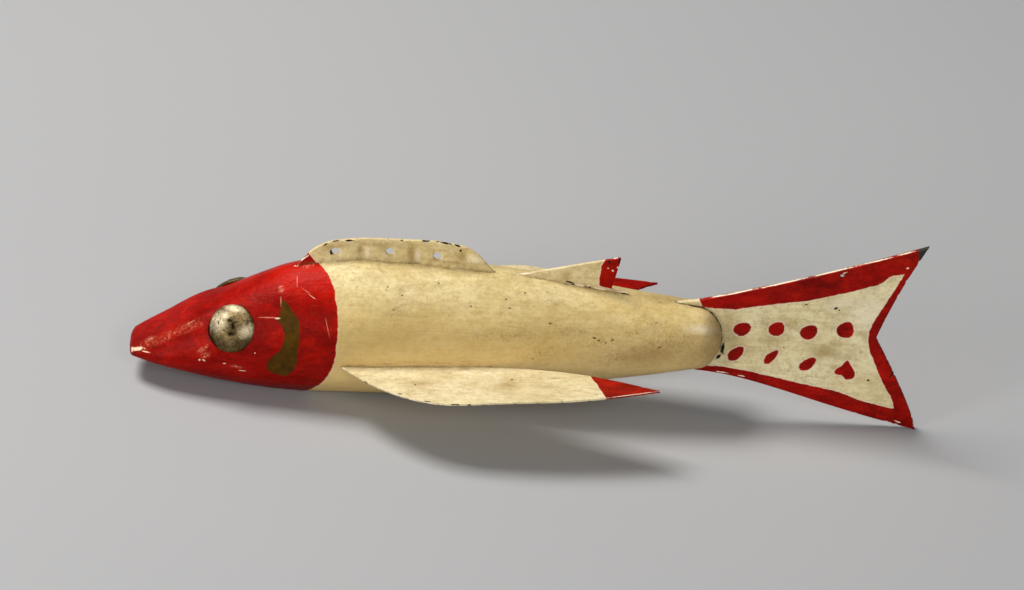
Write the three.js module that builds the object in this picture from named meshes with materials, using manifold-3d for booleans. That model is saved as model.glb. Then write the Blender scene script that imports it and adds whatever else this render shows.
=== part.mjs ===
// A folk fish decoy: a carved wooden body with sheet-metal fins and tail and two domed brass tacks for eyes.
// Millimetres, Z up. X runs from the nose towards the tail, and the fish's own left side faces -Y.
// The fish is carved level, with Z = 0 at the middle line of the tail, and is then laid on its belly flat.
import * as THREE from "three";
import { mergeVertices } from "three/addons/utils/BufferGeometryUtils.js";
import Module from "manifold-3d";

const wasm = await Module();
wasm.setup();

// Body
const bodyLength = 132.0;
const bodyHeight = 32.1;
const bodyWidth = 27.8;
const noseEdgeRound = 0.6;
const rearDomeLength = 4.9;
const bellyFlatDepth = 0.8;
const noseLeftCornerRound = 0.6;
const noseRightCornerRound = 1.0;
const noseCornerReach = 8.0;
const snoutFlatHalfWidth = 4.95;
const snoutFlatLength = 15.0;
const snoutFadeLength = 7.0;

// Fit between a sheet or a tack and the wood that it is set in
const setGap = 0.3;

// Line-tie fin on the back, with the holes for the line
const lineFinLength = 44.0;
const lineFinHeight = 6.1;
const lineFinThickness = 0.8;
const lineFinSetDepth = 4.5;
const lineHoleDiameter = 1.7;
const lineHoleAboveBack = 2.25;
const lineHolesFromFront = [8.7, 20.7, 31.2];

// Small fin behind it
const rearFinLength = 23.4;
const rearFinHeight = 9.3;
const rearFinRake = 2.2;
const rearFinHeelLength = 3.6;
const rearFinHeelHeight = 0.7;
const rearFinThickness = 0.7;
const rearFinSetDepth = 3.5;

// Side fins: cut by hand, so the right one is shorter and broader at its tip than the left one
const leftFinLength = 70.8;
const leftFinWidth = 17.2;
const leftFinTipWidth = 8.9;
const rightFinLength = 71.0;
const rightFinWidth = 16.0;
const rightFinTipWidth = 11.0;
const sideFinRootLength = 33.0;
const sideFinThickness = 0.6;
const sideFinSetDepth = 5.0;
const sideFinDrop = 3.1;
const sideFinDihedral = THREE.MathUtils.degToRad(4.0);

// Tail, measured back from the rear end of the body
const tailUpperLength = 45.6;
const tailLowerLength = 43.4;
const tailNotchLength = 34.3;
const tailHeight = 46.8;
const tailNeckHeight = 18.0;
const tailSetLength = 13.2;
const tailTabHeight = 16.0;
const tailThickness = 1.1;

// Eyes
const eyeDiameter = 10.7;
const eyeDomeHeight = 1.8;
const eyeRimThickness = 0.5;
const eyeSink = 1.2;
const eyeAngle = THREE.MathUtils.degToRad(36);
const shankDiameter = 1.8;
const shankLength = 5.0;

// Where the pieces sit on the carving, as shares of the body's length from the nose
const lineFinPlace = 0.2835;
const rearFinPlace = 0.653;
const leftFinPlace = 0.363;
const rightFinPlace = 0.35;
const eyePlaceAlong = 0.176;

// How finely the round forms are faceted
const ringsAlongBody = 36;
const ringsInNoseRound = 4;
const ringsInRearDome = 7;
const pointsAroundBody = 48;
const pointsAroundEye = 28;
const ringsOverEye = 6;
const pointsAroundHole = 16;
const stepsPerCurve = 12;

// The carved body from nose to rear end, as shares: place of the length, height and middle line of the greatest
// height, width of the greatest width. The snout is low and wide like a chisel, and the deepest place is a third back.
// The last number is how square the upper half of the section is: 2 is an ellipse, the snout is squarer,
// and the back is a little sharper where the head ends.
const bodyStations = [
  { along: 0.0, height: 0.078, width: 0.38, middle: -0.1415, square: 3.0 },
  { along: 0.045, height: 0.236, width: 0.6, middle: -0.119, square: 2.75 },
  { along: 0.107, height: 0.467, width: 0.75, middle: -0.081, square: 2.4 },
  { along: 0.175, height: 0.682, width: 0.84, middle: -0.044, square: 2.0 },
  { along: 0.27, height: 0.922, width: 0.935, middle: 0.021, square: 1.72 },
  { along: 0.375, height: 1.0, width: 1.0, middle: 0.052, square: 1.85 },
  { along: 0.458, height: 0.992, width: 0.975, middle: 0.045, square: 2.0 },
  { along: 0.618, height: 0.892, width: 0.9, middle: 0.023, square: 2.0 },
  { along: 0.7, height: 0.829, width: 0.82, middle: 0.01, square: 2.0 },
  { along: 0.8, height: 0.68, width: 0.72, middle: 0.004, square: 2.0 },
  { along: 0.88, height: 0.575, width: 0.65, middle: 0.0, square: 2.0 },
  { along: 1.0, height: 0.415, width: 0.5, middle: 0.0, square: 2.0 },
];

// A smooth curve through the stations: cubic between neighbours, with the slope at each set by those beside it
function smooth(stations, key, along) {
  const last = stations.length - 1;
  const found = stations.findIndex((station) => station.along > along);
  const right = found === -1 ? last : Math.max(found, 1);
  const slopeAt = (index) => {
    const before = stations[Math.max(index - 1, 0)];
    const after = stations[Math.min(index + 1, last)];
    return (after[key] - before[key]) / (after.along - before.along);
  };
  const from = stations[right - 1];
  const to = stations[right];
  const span = to.along - from.along;
  const t = (along - from.along) / span;
  const bendFrom = (1 - t) * (1 - t) * t * span * slopeAt(right - 1);
  const bendTo = t * t * (t - 1) * span * slopeAt(right);
  const blend = t * t * (3 - 2 * t);
  return from[key] * (1 - blend) + to[key] * blend + bendFrom + bendTo;
}

// Half height, half width and middle line of the carving, before its two ends are rounded
function bodySection(along) {
  const share = along / bodyLength;
  return {
    halfHeight: (smooth(bodyStations, "height", share) * bodyHeight) / 2,
    halfWidth: (smooth(bodyStations, "width", share) * bodyWidth) / 2,
    middle: smooth(bodyStations, "middle", share) * bodyHeight,
    squareness: smooth(bodyStations, "square", share),
  };
}

// The top of the snout is planed to a flat of one width, with a softened ridge along each side of it that fades out
// before the eyes. The angle at which the ridge lies is the same in every section.
const ridgeAngle = Math.PI / 3;
const ridgeSoftness = 0.3;

function planedShare(angle, flatShare) {
  const level = Math.abs(Math.cos(angle));
  const ridgeLevel = Math.cos(ridgeAngle);
  if (level < ridgeLevel) return { across: (flatShare * level) / ridgeLevel, up: 1 };
  const below = (level - ridgeLevel) / (1 - ridgeLevel);
  return { across: THREE.MathUtils.lerp(flatShare, 1, below), up: (1 - below ** 1.3) ** 0.7 };
}

// How far back the nose's two corners are rounded off, at a share of the half width that is positive on the left
function cornerShift(along, across) {
  const depth = across > 0 ? noseLeftCornerRound : noseRightCornerRound;
  const near = Math.max(0, 1 - along / noseCornerReach);
  return depth * near ** 2 * across ** 4;
}

// A point of the carving's surface: the angle is 0 on the left side and a quarter turn on the back
function bodyPoint(along, angle) {
  const section = bodySection(along);
  const upper = Math.sin(angle) > 0;
  const power = upper ? 2 / section.squareness : 1;
  const round = { across: Math.abs(Math.cos(angle)) ** power, up: Math.abs(Math.sin(angle)) ** power };
  const planed = upper ? planedShare(angle, snoutFlatHalfWidth / section.halfWidth) : round;
  const behind = THREE.MathUtils.smoothstep(along, snoutFlatLength, snoutFlatLength + snoutFadeLength);
  const fade = THREE.MathUtils.lerp(ridgeSoftness, 1, behind);
  const across = Math.sign(Math.cos(angle)) * THREE.MathUtils.lerp(planed.across, round.across, fade);
  const up = Math.sign(Math.sin(angle)) * THREE.MathUtils.lerp(planed.up, round.up, fade);
  return new THREE.Vector3(
    along + cornerShift(along, across),
    -section.halfWidth * across,
    section.middle + section.halfHeight * up,
  );
}

const back = (along) => bodySection(along).middle + bodySection(along).halfHeight;
const side = (along) => bodySection(along).halfWidth;

// Rings of the body: the place of each, and what its section is drawn in by or scaled by to round the two ends
function bodyRings() {
  const rings = [];
  for (let i = 0; i < ringsInNoseRound; i++) {
    const turn = (i / ringsInNoseRound) * (Math.PI / 2);
    rings.push({
      along: noseEdgeRound * (1 - Math.cos(turn)),
      inset: noseEdgeRound * (1 - Math.sin(turn)),
      scale: 1,
    });
  }
  const domeStart = bodyLength - rearDomeLength;
  for (let i = 0; i < ringsAlongBody; i++) {
    const along = THREE.MathUtils.lerp(noseEdgeRound, domeStart, i / ringsAlongBody);
    rings.push({ along, inset: 0, scale: 1 });
  }
  for (let i = 0; i < ringsInRearDome; i++) {
    const turn = (i / ringsInRearDome) * (Math.PI / 2);
    rings.push({ along: domeStart + rearDomeLength * Math.sin(turn), inset: 0, scale: Math.cos(turn) });
  }
  return rings;
}

// The carved block before any saw cut: rings joined by quads and closed by a fan at each end
function carvedBlock() {
  const rings = bodyRings();
  const positions = [];
  for (const ring of rings) {
    const section = bodySection(ring.along);
    const heightScale = (ring.scale * (section.halfHeight - ring.inset)) / section.halfHeight;
    const widthScale = (ring.scale * (section.halfWidth - ring.inset)) / section.halfWidth;
    for (let i = 0; i < pointsAroundBody; i++) {
      const point = bodyPoint(ring.along, (i / pointsAroundBody) * Math.PI * 2);
      const up = section.middle + (point.z - section.middle) * heightScale;
      positions.push(point.x, point.y * widthScale, up);
    }
  }
  const noseCentre = positions.length / 3;
  const rearCentre = noseCentre + 1;
  positions.push(0, 0, bodySection(0).middle);
  positions.push(bodyLength, 0, bodySection(bodyLength).middle);
  const indices = [];
  const lastRing = (rings.length - 1) * pointsAroundBody;
  for (let i = 0; i < pointsAroundBody; i++) {
    const next = (i + 1) % pointsAroundBody;
    indices.push(noseCentre, i, next);
    indices.push(rearCentre, lastRing + next, lastRing + i);
    for (let here = 0; here < lastRing; here += pointsAroundBody) {
      const there = here + pointsAroundBody;
      indices.push(here + i, there + next, here + next);
      indices.push(here + i, there + i, there + next);
    }
  }
  const geometry = new THREE.BufferGeometry();
  geometry.setAttribute("position", new THREE.Float32BufferAttribute(positions, 3));
  geometry.setIndex(indices);
  return geometry;
}

// A geometry as a solid that can be cut, and the cut solid as a geometry
function solidOf(geometry) {
  const bare = geometry.clone();
  bare.deleteAttribute("normal");
  bare.deleteAttribute("uv");
  const merged = mergeVertices(bare);
  return new wasm.Manifold(
    new wasm.Mesh({
      numProp: 3,
      vertProperties: merged.attributes.position.array,
      triVerts: new Uint32Array(merged.index.array),
    }),
  );
}

function geometryOf(solid) {
  const mesh = solid.getMesh();
  const geometry = new THREE.BufferGeometry();
  geometry.setAttribute("position", new THREE.BufferAttribute(mesh.vertProperties, 3));
  geometry.setIndex(new THREE.BufferAttribute(mesh.triVerts, 1));
  const faceted = geometry.toNonIndexed();
  faceted.computeVertexNormals();
  return faceted;
}

// A flat sheet cut to an outline, half its thickness to either side of the outline's plane
function sheet(shape, thickness) {
  const geometry = new THREE.ExtrudeGeometry(shape, {
    depth: thickness,
    bevelEnabled: false,
    curveSegments: stepsPerCurve,
  });
  return geometry.translate(0, 0, -thickness / 2);
}

// A saw cut for a sheet: as long as its root, a gap wider than the sheet and a gap deeper, and open past the surface
function sawCut(rootFrom, rootTo, rootDepth, openTo, sheetThickness) {
  const length = rootTo - rootFrom + 2 * setGap;
  const height = openTo - rootDepth + setGap;
  const cut = new THREE.BoxGeometry(length, height, sheetThickness + 2 * setGap);
  return cut.translate((rootFrom + rootTo) / 2, openTo - height / 2, 0);
}

// Stands a sheet or its saw cut upright in the fish's middle plane
const upright = (geometry) => geometry.rotateX(Math.PI / 2);

// Line-tie fin. Its crown in shares of its length and of its height above the back: a straight slope at each end,
// a rounded shoulder beside it, and between them a long edge that climbs to its highest place behind the middle.
const lineFinFront = lineFinPlace * bodyLength;
const lineFinRear = lineFinFront + lineFinLength;
const lineFinBottom = Math.min(back(lineFinFront), back(lineFinRear)) - lineFinSetDepth;

function lineFinCrown() {
  const crown = new THREE.Path();
  crown.moveTo(0, 0);
  crown.lineTo(0.07, 0.48);
  crown.quadraticCurveTo(0.13, 0.83, 0.24, 0.85);
  crown.quadraticCurveTo(0.45, 0.88, 0.69, 1);
  crown.quadraticCurveTo(0.79, 1, 0.85, 0.91);
  crown.quadraticCurveTo(0.895, 0.8, 0.93, 0.58);
  crown.lineTo(1, 0);
  return crown.getPoints(stepsPerCurve);
}

function lineTieFin() {
  const shape = new THREE.Shape();
  shape.moveTo(lineFinFront, lineFinBottom);
  shape.lineTo(lineFinRear, lineFinBottom);
  for (const share of lineFinCrown().reverse()) {
    const along = lineFinFront + share.x * lineFinLength;
    shape.lineTo(along, back(along) + share.y * lineFinHeight);
  }
  for (const fromFront of lineHolesFromFront) {
    const along = lineFinFront + fromFront;
    const hole = new THREE.Path();
    hole.absarc(along, back(along) + lineHoleAboveBack, lineHoleDiameter / 2, 0, Math.PI * 2, true);
    shape.holes.push(new THREE.Path(hole.getPoints(pointsAroundHole).slice(1)));
  }
  return upright(sheet(shape, lineFinThickness));
}

const lineFinCut = () =>
  upright(sawCut(lineFinFront, lineFinRear, lineFinBottom, bodyHeight, lineFinThickness));

// Rear dorsal fin: a pointed sheet whose rear edge leans over a low heel
const rearFinFront = rearFinPlace * bodyLength;
const rearFinTopCorner = rearFinFront + rearFinLength;
const rearFinHeelStart = rearFinTopCorner - rearFinRake;
const rearFinRear = rearFinHeelStart + rearFinHeelLength;
const rearFinBottom = back(rearFinRear) - rearFinSetDepth;

function rearDorsalFin() {
  const shape = new THREE.Shape();
  shape.moveTo(rearFinFront, rearFinBottom);
  shape.lineTo(rearFinRear, rearFinBottom);
  shape.lineTo(rearFinRear, back(rearFinRear) + rearFinHeelHeight / 2);
  shape.lineTo(rearFinHeelStart, back(rearFinHeelStart) + rearFinHeelHeight);
  shape.lineTo(rearFinTopCorner, back(rearFinTopCorner) + rearFinHeight);
  shape.lineTo(rearFinFront, back(rearFinFront));
  return upright(sheet(shape, rearFinThickness));
}

const rearFinCut = () =>
  upright(sawCut(rearFinFront, rearFinRear, rearFinBottom, bodyHeight, rearFinThickness));

// Side fins: blades drawn in plan, with the distance from the middle plane as the second number. The outer edge
// is two arcs of a parabola that meet at the widest place, and the inner edge curves in from the tip to the root.
const widestPlace = 0.37;

function sideFin(place, length, width, tipWidth) {
  const front = place * bodyLength;
  const root = side(front);
  const inner = root - sideFinSetDepth;
  const rootEnd = front + sideFinRootLength;
  const rootEdge = side(rootEnd) + setGap;
  const widest = front + widestPlace * length;
  const tip = front + length;
  const shape = new THREE.Shape();
  shape.moveTo(front, inner);
  shape.lineTo(front, root);
  shape.quadraticCurveTo((front + widest) / 2, root + width, widest, root + width);
  shape.quadraticCurveTo((widest + tip) / 2, root + width, tip, root + tipWidth);
  shape.quadraticCurveTo((tip + rootEnd) / 2, rootEdge, rootEnd, rootEdge);
  shape.lineTo(rootEnd, inner);
  return sheet(shape, sideFinThickness);
}

function sideFinCut(place) {
  const front = place * bodyLength;
  const inner = side(front) - sideFinSetDepth;
  return sawCut(front, front + sideFinRootLength, inner, bodyWidth, sideFinThickness);
}

// Each blade lies a little below the middle line and rises a little towards its outer edge
const onLeft = (geometry) => geometry.rotateX(Math.PI - sideFinDihedral).translate(0, 0, -sideFinDrop);
const onRight = (geometry) => geometry.rotateX(sideFinDihedral).translate(0, 0, -sideFinDrop);

// Tail: a forked sheet held in a saw cut through the whole height of the body's end
const tailTip = new THREE.Vector2(bodyLength + tailLowerLength, -tailHeight / 2);

function tail() {
  const tip = tailHeight / 2;
  const neck = tailNeckHeight / 2;
  const tabFront = bodyLength - tailSetLength;
  const neckFront = bodyLength - rearDomeLength;
  const at = (share, length) => THREE.MathUtils.lerp(neckFront, bodyLength + length, share);
  const shape = new THREE.Shape();
  shape.moveTo(tabFront, -tailTabHeight / 2);
  shape.lineTo(neckFront, -neck);
  shape.bezierCurveTo(
    at(0.27, tailLowerLength),
    -THREE.MathUtils.lerp(neck, tip, 0.1),
    at(0.49, tailLowerLength),
    -THREE.MathUtils.lerp(neck, tip, 0.53),
    tailTip.x,
    tailTip.y,
  );
  shape.quadraticCurveTo(at(0.98, tailLowerLength), -0.74 * tip, bodyLength + tailNotchLength, 0);
  shape.quadraticCurveTo(at(0.86, tailUpperLength), 0.48 * tip, bodyLength + tailUpperLength, tip);
  shape.quadraticCurveTo(
    at(0.5, tailUpperLength),
    THREE.MathUtils.lerp(neck, tip, 0.4),
    neckFront,
    neck,
  );
  shape.lineTo(tabFront, tailTabHeight / 2);
  return upright(sheet(shape, tailThickness));
}

const tailCut = () =>
  upright(sawCut(bodyLength - tailSetLength, bodyLength, -bodyHeight, bodyHeight, tailThickness));

// Eyes: a low dome with a thin rim and a short shank, turned about the axis that the tack is driven in along
const eyeRadius = eyeDiameter / 2;

function eye() {
  const sphereRadius = (eyeRadius ** 2 + eyeDomeHeight ** 2) / (2 * eyeDomeHeight);
  const rimTurn = Math.asin(eyeRadius / sphereRadius);
  const rimTop = eyeRimThickness - eyeSink;
  const profile = [
    new THREE.Vector2(0, -eyeSink - shankLength),
    new THREE.Vector2(shankDiameter / 2, -eyeSink - shankLength),
    new THREE.Vector2(shankDiameter / 2, -eyeSink),
    new THREE.Vector2(eyeRadius, -eyeSink),
  ];
  for (let i = 0; i < ringsOverEye; i++) {
    const turn = rimTurn * (1 - i / ringsOverEye);
    const up = sphereRadius * (Math.cos(turn) - Math.cos(rimTurn));
    profile.push(new THREE.Vector2(sphereRadius * Math.sin(turn), rimTop + up));
  }
  profile.push(new THREE.Vector2(0, rimTop + eyeDomeHeight));
  return new THREE.LatheGeometry(profile, pointsAroundEye);
}

// The flat seat for the tack's head, open past the surface, and the hole for its shank
function eyeSeat() {
  const height = eyeSink + setGap + eyeDomeHeight;
  const radius = eyeRadius + setGap;
  const seat = new THREE.CylinderGeometry(radius, radius, height, pointsAroundEye);
  return seat.translate(0, height / 2 - eyeSink - setGap, 0);
}

function shankHole() {
  const depth = shankLength + 2 * setGap;
  const radius = shankDiameter / 2 + setGap;
  const hole = new THREE.CylinderGeometry(radius, radius, depth, pointsAroundHole);
  return hole.translate(0, setGap - eyeSink - depth / 2, 0);
}

// Where an eye sits: its axis stands square on the carved surface
function eyePlace(angle) {
  const step = 0.01;
  const along = eyePlaceAlong * bodyLength;
  const forwards = bodyPoint(along + step, angle).sub(bodyPoint(along - step, angle));
  const around = bodyPoint(along, angle + step).sub(bodyPoint(along, angle - step));
  const outward = forwards.cross(around).normalize();
  const turn = new THREE.Quaternion().setFromUnitVectors(new THREE.Vector3(0, 1, 0), outward);
  return new THREE.Matrix4().compose(bodyPoint(along, angle), turn, new THREE.Vector3(1, 1, 1));
}

const leftEyePlace = eyePlace(eyeAngle);
const rightEyePlace = eyePlace(Math.PI - eyeAngle);

// The pitch at which the fish lies on its belly flat and on the lower tip of its tail, found by halving
function lowestOfBelly(pitch) {
  let lowest = Infinity;
  for (let i = 0; i <= ringsAlongBody; i++) {
    const along = (i / ringsAlongBody) * bodyLength;
    const section = bodySection(along);
    const bottom = section.middle - section.halfHeight;
    lowest = Math.min(lowest, along * Math.sin(pitch) + bottom * Math.cos(pitch));
  }
  return lowest;
}

function findRestPitch() {
  let low = 0;
  let high = Math.PI / 6;
  for (let i = 0; i < 40; i++) {
    const pitch = (low + high) / 2;
    const tipHeight = tailTip.x * Math.sin(pitch) + tailTip.y * Math.cos(pitch);
    if (tipHeight < lowestOfBelly(pitch) + bellyFlatDepth) low = pitch;
    else high = pitch;
  }
  return (low + high) / 2;
}

const restPitch = findRestPitch();

// All that is planed off below the belly flat
function belowFlat() {
  const top = lowestOfBelly(restPitch) + bellyFlatDepth;
  const slab = new THREE.BoxGeometry(bodyLength * 2, bodyWidth * 2, bodyHeight);
  return slab.translate(0, 0, top - bodyHeight / 2).rotateY(restPitch);
}

function body() {
  const cuts = [
    lineFinCut(),
    rearFinCut(),
    onLeft(sideFinCut(leftFinPlace)),
    onRight(sideFinCut(rightFinPlace)),
    tailCut(),
    belowFlat(),
  ];
  for (const place of [leftEyePlace, rightEyePlace]) {
    cuts.push(eyeSeat().applyMatrix4(place));
    cuts.push(shankHole().applyMatrix4(place));
  }
  let wood = solidOf(carvedBlock());
  for (const cut of cuts) wood = wood.subtract(solidOf(cut));
  return geometryOf(wood);
}

// Finishes
const creamPaint = new THREE.MeshStandardMaterial({ color: 0xd8c391, roughness: 0.5, metalness: 0 });
const creamTin = new THREE.MeshStandardMaterial({ color: 0xdccb9c, roughness: 0.5, metalness: 0.1 });
const redTin = new THREE.MeshStandardMaterial({ color: 0xa81c0e, roughness: 0.45, metalness: 0.1 });
const brass = new THREE.MeshStandardMaterial({ color: 0x9c8a63, roughness: 0.45, metalness: 1 });

function piece(name, geometry, material) {
  const mesh = new THREE.Mesh(geometry, material);
  mesh.name = name;
  return mesh;
}

function placedEye(name, place) {
  const mesh = piece(name, eye(), brass);
  mesh.applyMatrix4(place);
  return mesh;
}

const leftFin = sideFin(leftFinPlace, leftFinLength, leftFinWidth, leftFinTipWidth);
const rightFin = sideFin(rightFinPlace, rightFinLength, rightFinWidth, rightFinTipWidth);

const fish = new THREE.Group();
fish.add(piece("body", body(), creamPaint));
fish.add(piece("tail", tail(), redTin));
fish.add(piece("line_tie_fin", lineTieFin(), creamTin));
fish.add(piece("rear_dorsal_fin", rearDorsalFin(), creamTin));
fish.add(piece("left_side_fin", onLeft(leftFin), creamTin));
fish.add(piece("right_side_fin", onRight(rightFin), creamTin));
fish.add(placedEye("left_eye", leftEyePlace));
fish.add(placedEye("right_eye", rightEyePlace));
fish.rotation.y = -restPitch;

// The origin is on the table, under the middle of the fish
const decoy = new THREE.Group();
decoy.add(fish);
const box = new THREE.Box3().setFromObject(decoy, true);
fish.position.set(-(box.min.x + box.max.x) / 2, -(box.min.y + box.max.y) / 2, -box.min.z);

export default decoy;
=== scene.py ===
import itertools
import math

import bmesh
import bpy
import numpy as np
from mathutils import Matrix, Vector
from mathutils.bvhtree import BVHTree
from mathutils.geometry import delaunay_2d_cdt


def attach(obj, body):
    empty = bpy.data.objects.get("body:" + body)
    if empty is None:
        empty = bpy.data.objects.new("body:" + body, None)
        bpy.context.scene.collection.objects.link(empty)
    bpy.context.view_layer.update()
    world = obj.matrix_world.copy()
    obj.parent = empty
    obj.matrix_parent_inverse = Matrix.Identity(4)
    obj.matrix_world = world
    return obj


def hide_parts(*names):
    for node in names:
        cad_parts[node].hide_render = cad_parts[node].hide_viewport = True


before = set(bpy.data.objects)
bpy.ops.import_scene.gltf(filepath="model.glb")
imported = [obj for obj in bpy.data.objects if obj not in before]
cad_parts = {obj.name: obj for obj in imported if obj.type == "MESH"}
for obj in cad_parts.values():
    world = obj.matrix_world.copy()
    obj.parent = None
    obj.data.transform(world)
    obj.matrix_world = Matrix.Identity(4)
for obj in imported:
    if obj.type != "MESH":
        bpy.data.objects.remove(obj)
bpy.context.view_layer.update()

# The fish lies nose down on its belly flat and on the lower tip of its tail. Every piece is drawn in mm in
# the fish's own frame: x runs back from the nose, y to its right and z up, and the tail's middle is z = 0.
REST_PITCH = 0.0720110452869389
REST_SHIFT = (-88.45446, 0.63581, 10.71953)

BODY_LENGTH, BODY_HEIGHT, BODY_WIDTH = 132.0, 32.1, 27.8
NOSE_ROUND, NOSE_LEFT, NOSE_RIGHT, NOSE_REACH, REAR_DOME, BELLY_FLAT = 0.6, 0.6, 1.0, 8.0, 4.9, 0.8
SNOUT_FLAT_HALF, SNOUT_FLAT_LENGTH, SNOUT_FADE, SNOUT_RIDGE, RIDGE_SOFT = 4.95, 15.0, 7.0, math.pi / 3, 0.3

LINE_FIN = dict(front=0.2835 * BODY_LENGTH, length=44.0, height=6.1, thickness=0.8, depth=4.5)
LINE_HOLES, LINE_HOLE_UP, LINE_HOLE_ACROSS = (8.7, 20.7, 31.2), 2.25, 1.7
REAR_FIN = dict(front=0.653 * BODY_LENGTH, length=23.4, height=9.3, rake=2.2, thickness=0.7, depth=3.5)
REAR_HEEL, REAR_HEEL_HEIGHT = 3.6, 0.7
LEFT_FIN = dict(front=0.363 * BODY_LENGTH, length=70.8, width=17.2, tip=8.9)
RIGHT_FIN = dict(front=0.35 * BODY_LENGTH, length=71.0, width=16.0, tip=11.0)
SIDE_ROOT, SIDE_SHEET, SIDE_DEPTH, SIDE_DROP, SIDE_RISE = 33.0, 0.6, 5.0, 3.1, math.radians(4)
SIDE_WIDEST, SIDE_GAP = 0.37, 0.3
TAIL = dict(upper=45.6, lower=43.4, notch=34.3, height=46.8, neck=18.0, set=13.2, tab=16.0, thickness=1.1)
TACK = dict(across=10.7, dome=1.8, rim=0.5, sink=1.2, angle=math.radians(36), along=0.176 * BODY_LENGTH)

# Along, height, width, middle line, and how square the upper half is, each as a share of the body's size
STATIONS = np.array([
    (0.0, 0.078, 0.38, -0.1415, 3.0), (0.045, 0.236, 0.6, -0.119, 2.75), (0.107, 0.467, 0.75, -0.081, 2.4),
    (0.175, 0.682, 0.84, -0.044, 2.0), (0.27, 0.922, 0.935, 0.021, 1.72), (0.375, 1.0, 1.0, 0.052, 1.85),
    (0.458, 0.992, 0.975, 0.045, 2.0), (0.618, 0.892, 0.9, 0.023, 2.0), (0.7, 0.829, 0.82, 0.01, 2.0),
    (0.8, 0.68, 0.72, 0.004, 2.0), (0.88, 0.575, 0.65, 0.0, 2.0), (1.0, 0.415, 0.5, 0.0, 2.0),
])


def tilted(points, angle):
    """Points turned about the axis across the fish, its tail up for an angle of more than 0."""
    x, y, z = np.moveaxis(np.asarray(points, float), -1, 0)
    c, s = math.cos(angle), math.sin(angle)
    return np.stack([x * c - z * s, y, x * s + z * c], axis=-1)


def to_row(points):
    """Fish frame in mm to the row frame in metres."""
    return (tilted(points, REST_PITCH) + REST_SHIFT) / 1000


def to_fish(points):
    """Row frame in metres back to the fish frame in mm."""
    return tilted(points * 1000 - np.array(REST_SHIFT), -REST_PITCH)


def ripple(points, size, seed):
    """A smooth seeded unevenness between about -1 and 1, with waves about size mm long."""
    draw = np.random.RandomState(seed)
    points = np.asarray(points, float)
    total = np.zeros(points.shape[:-1])
    for _ in range(10):
        way = draw.normal(size=points.shape[-1])
        way *= draw.uniform(0.6, 1.5) / np.linalg.norm(way) * 2 * math.pi / size
        total += np.sin(points @ way + draw.uniform(0, 2 * math.pi))
    return total / 4.5


# The carved body's skin
def station(column, along):
    place, value = STATIONS[:, 0], STATIONS[:, column]
    share = np.asarray(along, float) / BODY_LENGTH
    last = len(place) - 1
    before, after = np.maximum(np.arange(last + 1) - 1, 0), np.minimum(np.arange(last + 1) + 1, last)
    slope = (value[after] - value[before]) / (place[after] - place[before])
    right = np.clip(np.searchsorted(place, share, side="right"), 1, last)
    left = right - 1
    span = place[right] - place[left]
    t = (share - place[left]) / span
    blend = t * t * (3 - 2 * t)
    bend = (1 - t) ** 2 * t * span * slope[left] + t * t * (t - 1) * span * slope[right]
    return value[left] * (1 - blend) + value[right] * blend + bend


def half_height(along):
    return station(1, along) * BODY_HEIGHT / 2


def half_width(along):
    return station(2, along) * BODY_WIDTH / 2


def middle(along):
    return station(3, along) * BODY_HEIGHT


def back(along):
    return middle(along) + half_height(along)


LINE_END = LINE_FIN["front"] + LINE_FIN["length"]
LINE_BOTTOM = float(min(back(LINE_FIN["front"]), back(LINE_END))) - LINE_FIN["depth"]
REAR_TIP = REAR_FIN["front"] + REAR_FIN["length"]
REAR_END = REAR_TIP - REAR_FIN["rake"] + REAR_HEEL
REAR_BOTTOM = float(back(REAR_END)) - REAR_FIN["depth"]


def skin(along, angle):
    """Points of the carving: the angle is 0 on the left side and a quarter turn on the back."""
    along, angle = np.broadcast_arrays(np.asarray(along, float), np.asarray(angle, float))
    upper = np.sin(angle) > 0
    level, rise = np.abs(np.cos(angle)), np.abs(np.sin(angle))
    power = np.where(upper, 2 / station(4, along), 1)
    across, up = level ** power, rise ** power
    ridge = math.cos(SNOUT_RIDGE)
    below = np.clip((level - ridge) / (1 - ridge), 0, 1)
    flat = SNOUT_FLAT_HALF / half_width(along)
    planed_across = np.where(level < ridge, flat * level / ridge, flat + (1 - flat) * below)
    planed_up = (1 - below ** 1.3) ** 0.7
    t = np.clip((along - SNOUT_FLAT_LENGTH) / SNOUT_FADE, 0, 1)
    fade = np.where(upper, RIDGE_SOFT + (1 - RIDGE_SOFT) * t * t * (3 - 2 * t), 1)
    across = np.sign(np.cos(angle)) * (planed_across + (across - planed_across) * fade)
    up = np.sign(np.sin(angle)) * (planed_up + (up - planed_up) * fade)
    cut_back = np.where(across > 0, NOSE_LEFT, NOSE_RIGHT) * np.clip(1 - along / NOSE_REACH, 0, 1) ** 2
    x, y = along + cut_back * across ** 4, -half_width(along) * across
    return np.stack([x, y, middle(along) + half_height(along) * up], axis=-1)


# Making meshes
def make_piece(name, points, faces, measures=None, smooth_under=35.0):
    """A mesh object from fish-frame points in mm, smooth except at edges sharper than an angle in degrees."""
    mesh = bpy.data.meshes.new(name)
    mesh.from_pydata(to_row(points).tolist(), [], [tuple(int(i) for i in face) for face in faces])
    mesh.validate()
    mesh.update()
    shell = bmesh.new()
    shell.from_mesh(mesh)
    if shell.calc_volume(signed=True) < 0:
        mesh.flip_normals()
    shell.free()
    piece = bpy.data.objects.new(name, mesh)
    bpy.context.scene.collection.objects.link(piece)
    shade(piece, smooth_under)
    for label, values in (measures or {}).items():
        measure(piece, label, values)
    return piece


def shade(piece, smooth_under):
    mesh = piece.data
    mesh.polygons.foreach_set("use_smooth", np.ones(len(mesh.polygons), bool))
    mesh.set_sharp_from_angle(angle=math.radians(smooth_under))
    mesh.update()


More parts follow.
